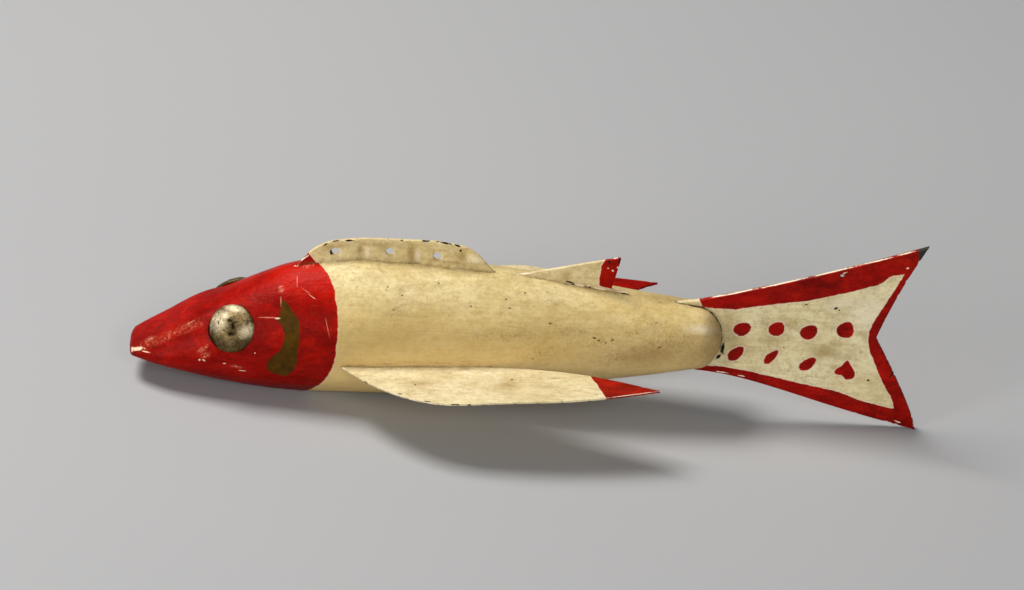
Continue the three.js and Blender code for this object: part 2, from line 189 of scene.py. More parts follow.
def measure(piece, label, values):
    """Keeps one number a point on the mesh, for the finishes to read."""
    attribute = piece.data.attributes.new(label, "FLOAT", "POINT")
    attribute.data.foreach_set("value", np.asarray(values, np.float32))


def points_of(piece):
    flat = np.zeros(len(piece.data.vertices) * 3, np.float32)
    piece.data.vertices.foreach_get("co", flat)
    return to_fish(flat.reshape(-1, 3).astype(float))


def cut_away(piece, cutters):
    """Takes each cutter's solid off the piece and removes the cutter."""
    for cutter in cutters:
        saw = piece.modifiers.new("cut", "BOOLEAN")
        saw.operation, saw.solver, saw.object = "DIFFERENCE", "EXACT", cutter
        bpy.context.view_layer.update()
        seen = piece.evaluated_get(bpy.context.evaluated_depsgraph_get())
        cut_mesh = bpy.data.meshes.new_from_object(seen)
        piece.modifiers.clear()
        old = piece.data
        piece.data = cut_mesh
        cut_mesh.name = piece.name
        bpy.data.meshes.remove(old)
        bpy.data.objects.remove(cutter)


def block(low, high, turn=lambda points: points):
    """A cutter with square corners between two corners, turned into place."""
    corners = np.array(list(itertools.product(*zip(low, high))), float)
    faces = [(0, 1, 3, 2), (4, 6, 7, 5), (0, 4, 5, 1), (2, 3, 7, 6), (0, 2, 6, 4), (1, 5, 7, 3)]
    return make_piece("saw", turn(corners), faces)


def turned(profile, around):
    """A closed form turned about a tack's axis, from (radius, height) pairs that start and end on it."""
    rows = profile[1:-1]
    last = 2 + (len(rows) - 1) * around
    points = [(0, 0, profile[0][1]), (0, 0, profile[-1][1])]
    for radius, height in rows:
        for i in range(around):
            angle = 2 * math.pi * i / around
            points.append((radius * math.cos(angle), radius * math.sin(angle), height))
    faces = []
    for i in range(around):
        j = (i + 1) % around
        faces.append((0, 2 + j, 2 + i))
        faces.append((1, last + i, last + j))
        for a in range(2, last, around):
            faces.append((a + i, a + j, a + around + j, a + around + i))
    return np.array(points), faces


# Flat shapes: outlines in mm in the plane of a sheet
def arc(*pulls, steps=24):
    """Points of a curve with two, three or four control points, without its last point."""
    pulls = np.array(pulls, float)
    points = []
    for t in np.arange(steps) / steps:
        row = pulls
        while len(row) > 1:
            row = row[:-1] * (1 - t) + row[1:] * t
        points.append(row[0])
    return points


def cut_outline(points, step):
    """The outline's own corners with points between them no further apart than the step."""
    points = np.asarray(points, float)
    walked = []
    for here, there in zip(points, np.roll(points, -1, axis=0)):
        parts = max(1, math.ceil(np.linalg.norm(there - here) / step))
        walked += [here + (there - here) * k / parts for k in range(parts)]
    walked = np.array(walked)
    area = np.sum(walked[:, 0] * np.roll(walked[:, 1], -1) - walked[:, 1] * np.roll(walked[:, 0], -1))
    return walked if area > 0 else walked[::-1]


def inward(loop):
    """The direction into the sheet at every point of a loop that keeps the sheet on its left."""
    ahead = np.roll(loop, -1, axis=0) - loop
    ahead /= np.linalg.norm(ahead, axis=1)[:, None] + 1e-12
    both = ahead + np.roll(ahead, 1, axis=0)
    both /= np.linalg.norm(both, axis=1)[:, None] + 1e-12
    return np.stack([-both[:, 1], both[:, 0]], axis=1)


def distance_to(points, loop):
    """Distance in mm from each point to a closed outline, more than 0 inside it and less than 0 outside."""
    points, loop = np.asarray(points, float), np.asarray(loop, float)
    nearest = np.full(len(points), 1e9)
    inside = np.zeros(len(points), bool)
    for a, b in zip(loop, np.roll(loop, -1, axis=0)):
        edge = b - a
        length = edge @ edge
        if length < 1e-12:
            continue
        t = np.clip(((points - a) @ edge) / length, 0, 1)
        gap = points - a - t[:, None] * edge
        nearest = np.minimum(nearest, np.einsum("ij,ij->i", gap, gap))
        crosses = (a[1] > points[:, 1]) != (b[1] > points[:, 1])
        with np.errstate(divide="ignore", invalid="ignore"):
            meets = a[0] + (points[:, 1] - a[1]) * edge[0] / edge[1]
        inside ^= crosses & (points[:, 0] < meets)
    return np.sqrt(nearest) * np.where(inside, 1, -1)


def worn_edge(outline, step, depth, size, seed, keep):
    """An outline walked in steps, with nicks of a depth and size in mm, shallower where keep is small."""
    loop = cut_outline(outline, step)
    rough = ripple(loop, size, seed) * 0.6 + ripple(loop, size / 2.7, seed + 1) * 0.4
    bite = np.clip(rough - 0.25, 0, 0.75) / 0.75
    return loop + inward(loop) * (bite * depth * keep(loop))[:, None]


def full_turn(around):
    """The angles of points that are spaced evenly round a circle."""
    return np.arange(around) / around * 2 * math.pi


def room_in(points, loops):
    """Distance in mm to a sheet's nearest edge, less than 0 off the sheet: its outline, then its holes."""
    holes = [-distance_to(points, hole[::-1]) for hole in loops[1:]]
    return np.minimum.reduce([distance_to(points, loops[0]), *holes])


def triangulated(edges, field, rings):
    """Points and triangles of a flat sheet inside its rings, and where each ring's points have gone."""
    ties, start = [], 0
    for loop in rings:
        count = len(loop)
        ties += [(start + i, start + (i + 1) % count) for i in range(count)]
        start += count
    made = delaunay_2d_cdt([Vector(p) for p in np.concatenate([edges, field])], ties, [], 0, 1e-6)
    flat = np.array([tuple(p) for p in made[0]])
    triangles = np.array([face for face in made[2] if len(face) == 3])
    triangles = triangles[room_in(flat[triangles].mean(axis=1), rings) > 0]
    place_of = {old: new for new, old_list in enumerate(made[3]) for old in old_list}
    return flat, triangles, place_of


def cut_sheet(name, loops, thickness, lay, bend, grain, red, aged, bare_behind=None):
    """A sheet of metal cut to an outline and drilled: two faces over one triangulation and a rounded edge.

    It keeps what its finish reads: its red, how aged it is, and the corner past which it is bare metal.
    """
    half, soft = thickness / 2, min(0.22, thickness * 0.42)
    turns = [math.pi / 2 * k / 3 for k in range(4)]
    rings = [[loop + inward(loop) * soft * (1 - math.cos(t)) for t in turns] for loop in loops]
    inner = [loop[-1] for loop in rings]
    low, high = loops[0].min(0), loops[0].max(0)
    rows, across = np.arange(low[1], high[1], grain * 0.87), np.arange(low[0], high[0], grain)
    field = np.array([(x + grain / 2 * (k % 2), y) for k, y in enumerate(rows) for x in across])
    field = field[room_in(field, loops) > soft + grain * 0.45]
    flat, triangles, place_of = triangulated(np.concatenate(inner), field, inner)
    count = len(flat)
    plan, height = [*flat, *flat], [half] * count + [-half] * count
    faces = [tuple(t) for t in triangles] + [tuple(t[::-1] + count) for t in triangles]
    start = 0
    for loop in rings:
        size = len(loop[0])
        bands = {1: [], -1: []}
        for side, band in bands.items():
            for turn, ring in zip(turns, loop[:-1]):
                band.append(len(plan) + np.arange(size))
                plan += list(ring)
                height += [side * (half - soft * (1 - math.sin(turn)))] * size
        rim = np.array([place_of[start + i] for i in range(size)])
        top, under = [*bands[1], rim], [*bands[-1], rim + count]
        for lower, upper in [*zip([under[0], *top], top), *zip(under[1:], under)]:
            for i in range(size):
                j = (i + 1) % size
                faces.append((lower[i], lower[j], upper[j], upper[i]))
        start += size
    plan = np.array(plan)
    points = lay(np.column_stack([plan, np.array(height) + bend(plan)]))
    bare = np.full(len(plan), -5.0) if bare_behind is None else np.min(plan - np.array(bare_behind), axis=1)
    measures = {"from_edge": room_in(plan, loops), "root": from_skin(points), "red": red(plan)}
    measures |= {"aged": np.full(len(plan), aged), "bare": bare}
    return make_piece(name, points, faces, measures, 42.0)


def upright(points):
    """A sheet that stands in the fish's middle plane: its upper face looks to the left."""
    return np.stack([points[:, 0], -points[:, 2], points[:, 1]], axis=1)


def on_side(side):
    """How a side fin's sheet is laid, nearly level: side is -1 on the left and 1 on the right."""
    c, s = math.cos(SIDE_RISE), math.sin(SIDE_RISE)

    def lay(points):
        out, thick = points[:, 1], points[:, 2]
        return np.stack([points[:, 0], side * (out * c - thick * s), out * s + thick * c - SIDE_DROP], axis=1)

    return lay


on_left, on_right = on_side(-1), on_side(1)


# The body: the carving, then its saw cuts, the seats of the tacks and the belly flat
def carve_block():
    around = 200
    dome = BODY_LENGTH - REAR_DOME
    nose_turns, rear_turns = (np.linspace(0, math.pi / 2, count)[:-1] for count in (6, 22))
    rings = [(NOSE_ROUND * (1 - math.cos(t)), NOSE_ROUND * (1 - math.sin(t)), 1.0) for t in nose_turns]
    rings += [(x, 0.0, 1.0) for x in np.linspace(NOSE_ROUND, dome, 290)[:-1]]
    rings += [(dome + REAR_DOME * math.sin(t), 0.0, math.cos(t)) for t in rear_turns]
    angles = full_turn(around)
    points = []
    for along, inset, scale in rings:
        section = skin(along, angles)
        centre = middle(along)
        wide, high = half_width(along), half_height(along)
        section[:, 1] *= scale * (wide - inset) / wide
        section[:, 2] = centre + (section[:, 2] - centre) * scale * (high - inset) / high
        points.append(section)
    points = np.concatenate(points)
    x = points[:, 0]
    outward = points - np.column_stack([x, np.zeros(len(x)), middle(np.clip(x, 0, BODY_LENGTH))])
    outward /= np.linalg.norm(outward, axis=1)[:, None] + 1e-9
    stretch = points * np.array([0.45, 1.0, 1.0])
    uneven = 0.075 * ripple(stretch, 9.0, 5) + 0.03 * ripple(stretch, 3.6, 9)
    calm = np.clip((x - 3) / 10, 0.25, 1) * np.clip((BODY_LENGTH + 0.5 - x) / 4, 0.3, 1)
    points = points + outward * (uneven * calm)[:, None]
    last = (len(rings) - 1) * around
    points = np.vstack([points, (0, 0, middle(0.0)), (BODY_LENGTH, 0, middle(BODY_LENGTH))])
    nose, rear = len(points) - 2, len(points) - 1
    faces = []
    for i in range(around):
        j = (i + 1) % around
        faces.append((nose, i, j))
        faces.append((rear, last + j, last + i))
        for a in range(0, last, around):
            faces.append((a + i, a + around + i, a + around + j, a + j))
    return make_piece("body_carving", points, faces), BVHTree.FromPolygons(points.tolist(), faces)


def from_skin(points):
    """Distance in mm from each point to the skin of the uncut carving: more than 0 outside the wood."""
    distances = []
    for point in points.tolist():
        nearest, outward, _, distance = WHOLE.find_nearest(point)
        distances.append(distance if (Vector(point) - nearest).dot(outward) > 0 else -distance)
    return np.array(distances)


def tack_place(angle):
    """Where a tack is driven: its axis stands square on the skin."""
    step = 0.01
    here = skin(TACK["along"], angle)
    forwards = skin(TACK["along"] + step, angle) - skin(TACK["along"] - step, angle)
    up = skin(TACK["along"], angle + step) - skin(TACK["along"], angle - step)
    out = np.cross(forwards, up)
    out /= np.linalg.norm(out)
    side = np.cross(up, out)
    side /= np.linalg.norm(side)
    frame_of = np.column_stack([side, np.cross(out, side), out])
    return lambda points: points @ frame_of.T + here


LEFT_TACK, RIGHT_TACK = tack_place(TACK["angle"]), tack_place(math.pi - TACK["angle"])


def saw_cuts():
    """Every cut is a little wider than its sheet (close), and a little longer and deeper (gap)."""
    gap, close = 0.1, 0.015
    beyond = BODY_LENGTH + 6
    cuts = []
    for front, end, bottom, thickness in (
        (LINE_FIN["front"], LINE_END, LINE_BOTTOM, LINE_FIN["thickness"]),
        (REAR_FIN["front"], REAR_END, REAR_BOTTOM, REAR_FIN["thickness"]),
    ):
        wide = thickness / 2 + close
        cuts.append(block((front - gap, -wide, bottom - gap), (end + gap, wide, BODY_HEIGHT)))
    for fin, turn in ((LEFT_FIN, on_left), (RIGHT_FIN, on_right)):
        front, wide = fin["front"], SIDE_SHEET / 2 + close
        inner = float(half_width(front)) - SIDE_DEPTH
        end = front + SIDE_ROOT
        cuts.append(block((front - gap, inner - gap, -wide), (end + gap, BODY_WIDTH, wide), turn))

    def opened(points):
        """The slot has spread at its rear, on the left side."""
        open_by = np.where((points[:, 0] > 125) & (points[:, 1] < 0), 0.4, 0)
        return points - np.stack([0 * open_by, open_by, 0 * open_by], axis=1)

    wide = TAIL["thickness"] / 2 + close
    for front, high in (
        (BODY_LENGTH - TAIL["set"] - gap, TAIL["tab"] / 2 + gap),
        (BODY_LENGTH - REAR_DOME - 2, BODY_HEIGHT),
    ):
        cuts.append(block((front, -wide, -high), (beyond, wide, high), opened))
    cuts.append(lost_filler())
    flat_top = BELLY_FLAT + lowest_belly()
    low, high = (-2 * BODY_LENGTH, -28, flat_top - 32), (2 * BODY_LENGTH, 28, flat_top)
    cuts.append(block(low, high, lambda points: tilted(points, -REST_PITCH)))
    return cuts


def lost_filler():
    """A bite at the rear of the tail's slot where its filler has fallen out, on the left side."""
    around = 14
    c, s = np.cos(full_turn(around)), np.sin(full_turn(around))
    ring = np.column_stack([-0.62 - 0.72 * c, -3.45 + 1.65 * s + 0.25 * c])
    points = np.vstack([np.column_stack([np.full(around, x), ring]) for x in (128.6, 136.0)])
    sides = [(i, (i + 1) % around, around + (i + 1) % around, around + i) for i in range(around)]
    ends = [tuple(range(around - 1, -1, -1)), tuple(range(around, 2 * around))]
    return make_piece("bite", points, ends + sides)


def lowest_belly():
    """Height of the belly's lowest point in mm, with the fish tilted as it rests."""
    x = np.linspace(0, BODY_LENGTH, 400)
    return float(np.min(x * math.sin(REST_PITCH) + (middle(x) - half_height(x)) * math.cos(REST_PITCH)))


def tack_seats():
    cuts = []
    radius = TACK["across"] / 2
    for place in (LEFT_TACK, RIGHT_TACK):
        low = -TACK["sink"] - 0.15
        points, faces = turned([(0, low), (radius + 0.03, low), (radius + 0.08, 4), (0, 4)], 72)
        cuts.append(make_piece("seat", place(points), faces))
    return cuts


body, WHOLE = carve_block()
cut_away(body, saw_cuts() + tack_seats())
shade(body, 33.0)

# A flat picture of the fish from its left side and 30 degrees above, in mm across, up and towards the eye
LOOK_DOWN, LOOK_TURN = math.radians(30), math.radians(2)
LOOK_RIGHT = np.array([math.cos(LOOK_TURN), math.sin(LOOK_TURN), 0.0])
LOOK_LEVEL = np.array([math.sin(LOOK_TURN), -math.cos(LOOK_TURN), 0.0])
LOOK_BACK = LOOK_LEVEL * math.cos(LOOK_DOWN) + np.array([0.0, 0.0, math.sin(LOOK_DOWN)])
LOOK_UP = np.cross(LOOK_BACK, LOOK_RIGHT)
TARGET = np.array([85.26, 0.0, 9.27])


def on_picture(points):
    """Points of the fish frame as mm across, up and towards the eye on the flat picture."""
    away = points - TARGET
    return np.column_stack([away @ LOOK_RIGHT, away @ LOOK_UP, away @ LOOK_BACK])


def keep_picture(piece, shown_behind=0.0):
    """Keeps each point's place on the flat picture. Points that the picture hides are sent far behind it."""
    mesh = piece.data
    normals = np.zeros(len(mesh.vertices) * 3, np.float32)
    mesh.vertices.foreach_get("normal", normals)
    points = points_of(piece)
    flat = on_picture(points)
    faced = normals.reshape(-1, 3) @ tilted(LOOK_BACK, REST_PITCH) > 0.08
    shown = faced & (points[:, 0] >= shown_behind)
    flat[:, 2] = np.where(shown, 0, -1000)
    kept = mesh.attributes.new("picture", "FLOAT_VECTOR", "POINT")
    kept.data.foreach_set("vector", flat.astype(np.float32).ravel())


def smooth_loop(points, steps=8):
    """A closed curve through the points."""
    here = np.array(points)[:, None]
    before, after, beyond = np.roll(here, 1, axis=0), np.roll(here, -1, axis=0), np.roll(here, -2, axis=0)
    t = (np.arange(steps) / steps)[None, :, None]
    bend = 2 * before - 5 * here + 4 * after - beyond + t * (3 * (here - after) + beyond - before)
    return (here + 0.5 * t * (after - before + t * bend)).reshape(-1, 2)


def to_seam(points):
    """Distance in mm from points of the skin to the nearest saw cut or tack."""
    x, y, z = points.T
    side_front = np.where(y < 0, LEFT_FIN["front"], RIGHT_FIN["front"])
    level = (z + SIDE_DROP) * math.cos(SIDE_RISE) - np.abs(y) * math.sin(SIDE_RISE)

    def past(front, length):
        return np.maximum(np.maximum(front - x, x - front - length), 0)

    low = np.where(z < middle(np.clip(x, 0, BODY_LENGTH)), 50, 0)
    heel = REAR_FIN["length"] - REAR_FIN["rake"] + REAR_HEEL
    gaps = [
        np.hypot(past(side_front, SIDE_ROOT), level) - SIDE_SHEET / 2,
        np.hypot(past(LINE_FIN["front"], LINE_FIN["length"]), y) - LINE_FIN["thickness"] / 2 + low,
        np.hypot(past(REAR_FIN["front"], heel), y) - REAR_FIN["thickness"] / 2 + low,
        np.hypot(past(BODY_LENGTH - REAR_DOME - 2, REAR_DOME + 2), y) - TAIL["thickness"] / 2 - 0.15,
    ]
    for place in (LEFT_TACK, RIGHT_TACK):
        gaps.append(np.linalg.norm(points - place(np.zeros((1, 3))), axis=1) - TACK["across"] / 2)
    return np.minimum.reduce(gaps)


# Where the red head ends, as (angle up from the level, place along the body): -90 is the belly
HEAD_EDGE = [
    (-90, 37.5), (-60, 39.6), (-45, 41.8), (-30, 44.1), (-16, 45.7), (1, 46.8), (18, 47.2), (33, 47.1),
    (55, 46.2), (72, 44.6), (90, 42.1),
]
# The gill mark's outline, and the line along the snout's soft edge where the paint is worn and a painted
# highlight runs, on the flat picture
GILL = [
    (-50.8, -1.0), (-48.7, -3.4), (-47.1, -5.9), (-47.0, -8.8), (-47.4, -12.0), (-47.9, -15.6),
    (-49.7, -17.7), (-51.7, -17.7), (-54.4, -16.2), (-53.2, -13.7), (-51.3, -12.2), (-50.5, -9.7),
    (-50.7, -7.2), (-51.8, -5.8), (-51.3, -3.6),
]
RIDGE_SCUFF_AND_HIGHLIGHT_LINE = [(-83.5, -11.8), (-81.3, -11.1), (-77.8, -9.7), (-73.8, -7.8), (-69.3, -6.2)]


def measure_body():
    points = points_of(body)
    x = np.clip(points[:, 0], 0, BODY_LENGTH)
    up, out = (points[:, 2] - middle(x)) / half_height(x), np.abs(points[:, 1]) / half_width(x)
    angle = np.degrees(np.arctan2(up, out))
    measure(body, "head_red", np.interp(angle, *zip(*HEAD_EDGE)) - points[:, 0])
    folded = on_picture(points * (1, 0, 1) - np.abs(points) * (0, 1, 0))
    beside = distance_to(folded[:, :2], smooth_loop(GILL))
    measure(body, "gill_mark", np.where(folded[:, 2] > -4, beside, -5))
    # Along the snout's soft edge: worn paint and a painted highlight
    off_line = np.abs(folded[:, 1] - np.interp(folded[:, 0], *zip(*RIDGE_SCUFF_AND_HIGHLIGHT_LINE)))
    ends = np.interp(folded[:, 0], [-84.5, -82.5, -71, -67.5], [0, 1, 1, 0])
    measure(body, "ridge_scuffs_and_highlight", np.clip(1 - off_line / 1.5, 0, 1) * ends)
    on_floor = to_row(points)[:, 2] < 0.00015
    measure(body, "bare", np.where(on_floor, 0.0, -from_skin(points)))
    measure(body, "seam", to_seam(points))


measure_body()


# The sheets
STEP = 0.5


def line_fin_outline():
    """The crown's curves are drawn as shares of the fin's length and height over the back."""
    front, length, height = LINE_FIN["front"], LINE_FIN["length"], LINE_FIN["height"]
    crown = [np.array((0, 0))]
    for pulls in (
        ((0.07, 0.48), (0.13, 0.83), (0.24, 0.85)),
        ((0.24, 0.85), (0.45, 0.88), (0.69, 1)),
        ((0.69, 1), (0.79, 1), (0.85, 0.91)),
        ((0.85, 0.91), (0.895, 0.8), (0.93, 0.58)),
    ):
        crown += arc(*pulls)
    crown += [np.array((0.93, 0.58)), np.array((1, 0))]
    walked = [a + (b - a) * k / 4 for a, b in zip(crown, crown[1:]) for k in range(4)] + crown[-1:]
    edge = [(front + u * length, float(back(front + u * length)) + v * height) for u, v in walked]
    return [(front, LINE_BOTTOM)] + edge + [(LINE_END, LINE_BOTTOM)]


def clockwise(around):
    """The angles and the points of a circle of radius 1 that runs the way round of a hole."""
    turn = -full_turn(around)
    return turn, np.column_stack([np.cos(turn), np.sin(turn)])


def line_fin_holes():
    holes = []
    for number, place in enumerate(LINE_HOLES):
        along = LINE_FIN["front"] + place
        centre = np.array((along, float(back(along)) + LINE_HOLE_UP))
        ring = clockwise(26)[1] * LINE_HOLE_ACROSS / 2
        rough = 1 + (0.16 if number == 0 else 0.04) * ripple(ring, 1.3, 31 + number)
        holes.append(centre + ring * rough[:, None])
    return holes


def rear_fin_outline():
    front, heel = REAR_FIN["front"], REAR_TIP - REAR_FIN["rake"]
    tip = np.array((REAR_TIP, float(back(REAR_TIP)) + REAR_FIN["height"]))
    edge = [(front, float(back(front)) + 0.02), tip - (0.9, 0.35), tip - (0.3, 0.25), tip - (0.1, 0.7)]
    edge.append((heel, float(back(heel)) + REAR_HEEL_HEIGHT))
    edge.append((REAR_END, float(back(REAR_END)) + REAR_HEEL_HEIGHT / 2))
    return [(front, REAR_BOTTOM)] + edge + [(REAR_END, REAR_BOTTOM)]


def side_fin_outline(fin):
    front, root = fin["front"], float(half_width(fin["front"]))
    widest, tip, end = front + SIDE_WIDEST * fin["length"], front + fin["length"], front + SIDE_ROOT
    inner, out, root_edge = root - SIDE_DEPTH, root + fin["width"], float(half_width(end)) + SIDE_GAP
    edge = arc((front, root), ((front + widest) / 2, out), (widest, out), steps=50)
    edge += arc((widest, out), ((widest + tip) / 2, out), (tip, root + fin["tip"]), steps=80)
    edge += arc((tip, root + fin["tip"]), ((tip + end) / 2, root_edge), (end, root_edge), steps=50)
    return [(front, inner)] + edge + [(end, root_edge), (end, inner)]


def tail_outline():
    tip, neck = TAIL["height"] / 2, TAIL["neck"] / 2
    tab, start = BODY_LENGTH - TAIL["set"], BODY_LENGTH - REAR_DOME

    def at(share, length):
        return start + (BODY_LENGTH + length - start) * share

    def blend(share):
        return neck + (tip - neck) * share

    lower, upper, notch = TAIL["lower"], TAIL["upper"], (BODY_LENGTH + TAIL["notch"], 0)
    low_tip, high_tip = (BODY_LENGTH + lower, -tip), (BODY_LENGTH + upper, tip)
    low_pulls = (at(0.27, lower), -blend(0.1)), (at(0.49, lower), -blend(0.53))
    edge = arc((start, -neck), *low_pulls, low_tip, steps=100)
    edge += arc(low_tip, (at(0.98, lower), -0.74 * tip), notch, steps=56)
    edge += arc(notch, (at(0.86, upper), 0.48 * tip), high_tip, steps=60)
    edge += arc(high_tip, (at(0.5, upper), blend(0.4)), (start, neck), steps=110)
    return [(tab, -TAIL["tab"] / 2)] + edge + [(start, neck), (tab, TAIL["tab"] / 2)]


# The tail's cream field inside its red border, and its red dots: place, half length, half width and tilt
FIELD = [
    (127.6, 7.3), (134.6, 6.8), (140.4, 7.9), (151.0, 9.4), (159.3, 11.5), (166.6, 13.8), (169.5, 16.0),
    (172.4, 16.7), (169.0, 10.3), (166.6, 6.0), (165.8, 4.5), (164.7, 1.6), (164.5, -0.8), (165.1, -3.5),
    (166.1, -6.5), (167.2, -9.4), (168.4, -12.1), (169.6, -14.4), (170.2, -16.2), (170.6, -18.0),
    (169.6, -17.9), (166.3, -17.0), (163.0, -16.0), (158.1, -13.9), (151.0, -12.2), (144.4, -10.6),
    (138.7, -9.1), (132.1, -7.8), (126.4, -7.6), (124.5, -14.0), (118.0, -14.0), (118.0, 14.0),
    (125.2, 14.0), (125.9, 11.6),
]
DOTS = [
    (136.6, 1.9, 2.05, 1.62, 32), (144.2, 2.1, 2.01, 1.69, 53), (151.4, 1.4, 2.11, 1.70, 48),
    (159.5, 2.0, 2.14, 1.91, 64), (135.2, -4.4, 2.25, 1.32, 46), (143.0, -5.2, 2.15, 0.95, 48),
    (151.2, -6.8, 2.23, 1.21, 42),
]
LAST_DOT = [
    (160.0, -5.8), (161.1, -7.6), (161.8, -9.2), (161.4, -10.4), (160.4, -10.7), (159.6, -10.6),
    (158.9, -9.7), (157.8, -9.5), (157.1, -9.0), (157.5, -8.1), (158.7, -7.3),
]


def tail_red(plan):
    red = -distance_to(plan, np.array(FIELD))
    for x, z, long, short, tilt in DOTS:
        t = math.radians(tilt)
        away = plan - np.array((x, z))
        u, v = away @ np.array((math.cos(t), math.sin(t))), away @ np.array((-math.sin(t), math.cos(t)))
        narrower = short * (1 - 0.18 * np.clip(u / long, -1, 1))
        red = np.maximum(red, (1 - np.hypot(u / long, v / narrower)) * short)
    return np.maximum(red, distance_to(plan, smooth_loop(LAST_DOT, 3)))


def tail_bend(plan):
    """Slight waves in the sheet, and a hollow before the notch that catches the light."""
    out = np.clip((plan[:, 0] - 134) / 40, 0, 1)
    hollow = np.exp(-((plan[:, 0] - 160) / 5) ** 2 - ((plan[:, 1] - 3) / 9) ** 2)
    return 0.16 * ripple(plan, 26, 51) * out + 0.03 * ripple(plan, 7, 52) * out - 0.3 * hollow


# Dents knocked into the line-tie fin from the left, at its holes and between them: place, half sizes, depth
DENTS = [
    (52.4, 19.9, 1.5, 2.2, 1.3), (63.6, 19.3, 1.6, 2.2, 1.3), (74.6, 18.6, 1.6, 1.8, 1.0),
    (46.0, 19.5, 1.5, 1.6, 0.5), (58.1, 19.8, 1.5, 1.6, 0.55), (68.6, 19.2, 1.5, 1.6, 0.55),
]


def line_fin_bend(plan):
    dent = 0.04 * ripple(plan, 12, 61) * np.clip((plan[:, 1] - 15) / 4, 0, 1)
    for x, z, wide, high, depth in DENTS:
        dent = dent - depth * np.exp(-((plan[:, 0] - x) / wide) ** 2 - ((plan[:, 1] - z) / high) ** 2)
    return dent


def line_red(plan):
    return 41.2 - plan[:, 0] + (17.8 - plan[:, 1]) * 0.68


def rear_red(plan):
    left = np.interp(plan[:, 1], [11.0, 12.3, 14.9, 17.6, 19.1], [104.3, 104.6, 104.8, 105.2, 106.1])
    return np.minimum(plan[:, 0] - left, plan[:, 1] - 12.2 + 0.26 * (plan[:, 0] - 104.6))


def side_red(plan):
    return plan[:, 0] - np.interp(plan[:, 1], [12.0, 15.8, 19.8, 26.7], [101.3, 102.8, 104.5, 106.9])


def rear_bend(plan):
    return 0.05 * ripple(plan, 14, 95)


def above(height):
    """Keeps the nicks of an outline to the part of it that is further up or out than a height in mm."""
    return lambda points: (points[:, 1] > height).astype(float)


tail_loop = worn_edge(tail_outline(), STEP, 0.35, 3.2, 71, lambda p: np.clip((p[:, 0] - 140) / 20, 0, 1))
pin_turn, pin_ring = clockwise(14)
pin_hole = np.array((158.5, 15.75)) + pin_ring * (0.5 + 0.1 * np.sin(3 * pin_turn))[:, None]
line_loop = worn_edge(line_fin_outline(), STEP, 0.28, 2.4, 81, above(16))
rear_loop = worn_edge(rear_fin_outline(), 0.4, 0.25, 2.2, 91, above(13))

tail = cut_sheet(
    "tail_sheet", [tail_loop, pin_hole], TAIL["thickness"], upright,
    tail_bend, 0.4, tail_red, 0.2, (175.2, 20.2),
)
line_fin = cut_sheet(
    "line_tie_fin_sheet", [line_loop, *line_fin_holes()], LINE_FIN["thickness"], upright,
    line_fin_bend, 0.36, line_red, 0.8,
)
rear_fin = cut_sheet(
    "rear_dorsal_sheet", [rear_loop], REAR_FIN["thickness"], upright,
    rear_bend, 0.36, rear_red, 0.55, (108.5, 19.3),
)


def side_fin(name, fin, lay, seed, nicks, raised):
    loop = worn_edge(side_fin_outline(fin), STEP, nicks, 3.0, seed, above(16.5))

    def lift(plan):
        outer = np.clip((plan[:, 1] - 13.5) / 14, 0, 1)
        waves = 0.22 * ripple(plan, 34, seed + 5) * np.clip(outer * 1.75, 0, 1)
        return waves + raised * outer * np.exp(-((plan[:, 0] - 86) / 7) ** 2)

    return cut_sheet(name, [loop], SIDE_SHEET, lay, lift, 0.55, side_red, 0.1)


left_fin = side_fin("left_side_fin_sheet", LEFT_FIN, on_left, 101, 0.35, 0.0)
right_fin = side_fin("right_side_fin_sheet", RIGHT_FIN, on_right, 111, 0.25, 0.9)


# The tacks: hollow pressed domes with a worn, pitted and slightly dented crown
def tack(name, place, seed):
    radius, rim, sink, dome = TACK["across"] / 2, TACK["rim"], TACK["sink"], TACK["dome"]
    ball = (radius ** 2 + dome ** 2) / (2 * dome)
    reach = math.asin(radius / ball)
    rows = [(0, -sink - 5), (0.5, -sink - 4.2), (0.9, -sink - 3), (0.9, -sink + 0.25)]
    rows += [(radius - 0.5, -sink + 0.2), (radius - 0.3, -sink), (radius - 0.06, -sink)]
    rows += [(radius, -sink + 0.1), (radius, rim - sink - 0.12)]
    for k in range(34):
        turn = reach * (1 - k / 34) * 0.995
        rows.append((ball * math.sin(turn), rim - sink + ball * (math.cos(turn) - math.cos(reach))))
    rows.append((0, rim - sink + dome))
    points, faces = turned(rows, 110)
    out = np.hypot(points[:, 0], points[:, 1])
    crown = (points[:, 2] > rim - sink - 0.2) & (out < radius * 0.995)
    flat = points[:, :2]
    pits = np.clip(ripple(flat, 1.5, seed) - 0.35, 0, 1) * 0.12
    pits = pits + ripple(flat, 3.5, seed + 1) * 0.05 + ripple(flat, 0.9, seed + 2) * 0.012
    points[:, 2] -= np.where(crown, pits * np.clip((radius - out) / 0.6, 0, 1), 0)
    edge = out > radius * 0.9
    points[:, :2] *= (1 + np.where(edge, 0.006 * ripple(flat, 5, seed + 3), 0))[:, None]
    return make_piece(name, place(points), faces, {"from_rim": np.where(crown, radius - out, 0)}, 40.0)


left_tack, right_tack = tack("left_tack_head", LEFT_TACK, 121), tack("right_tack_head", RIGHT_TACK, 131)


# Finishes
def paint(code):
    """An sRGB hex colour as linear red, green, blue and alpha."""
    parts = [int(code[i:i + 2], 16) / 255 for i in (1, 3, 5)]
    return tuple(p / 12.92 if p <= 0.04045 else ((p + 0.055) / 1.055) ** 2.4 for p in parts) + (1.0,)


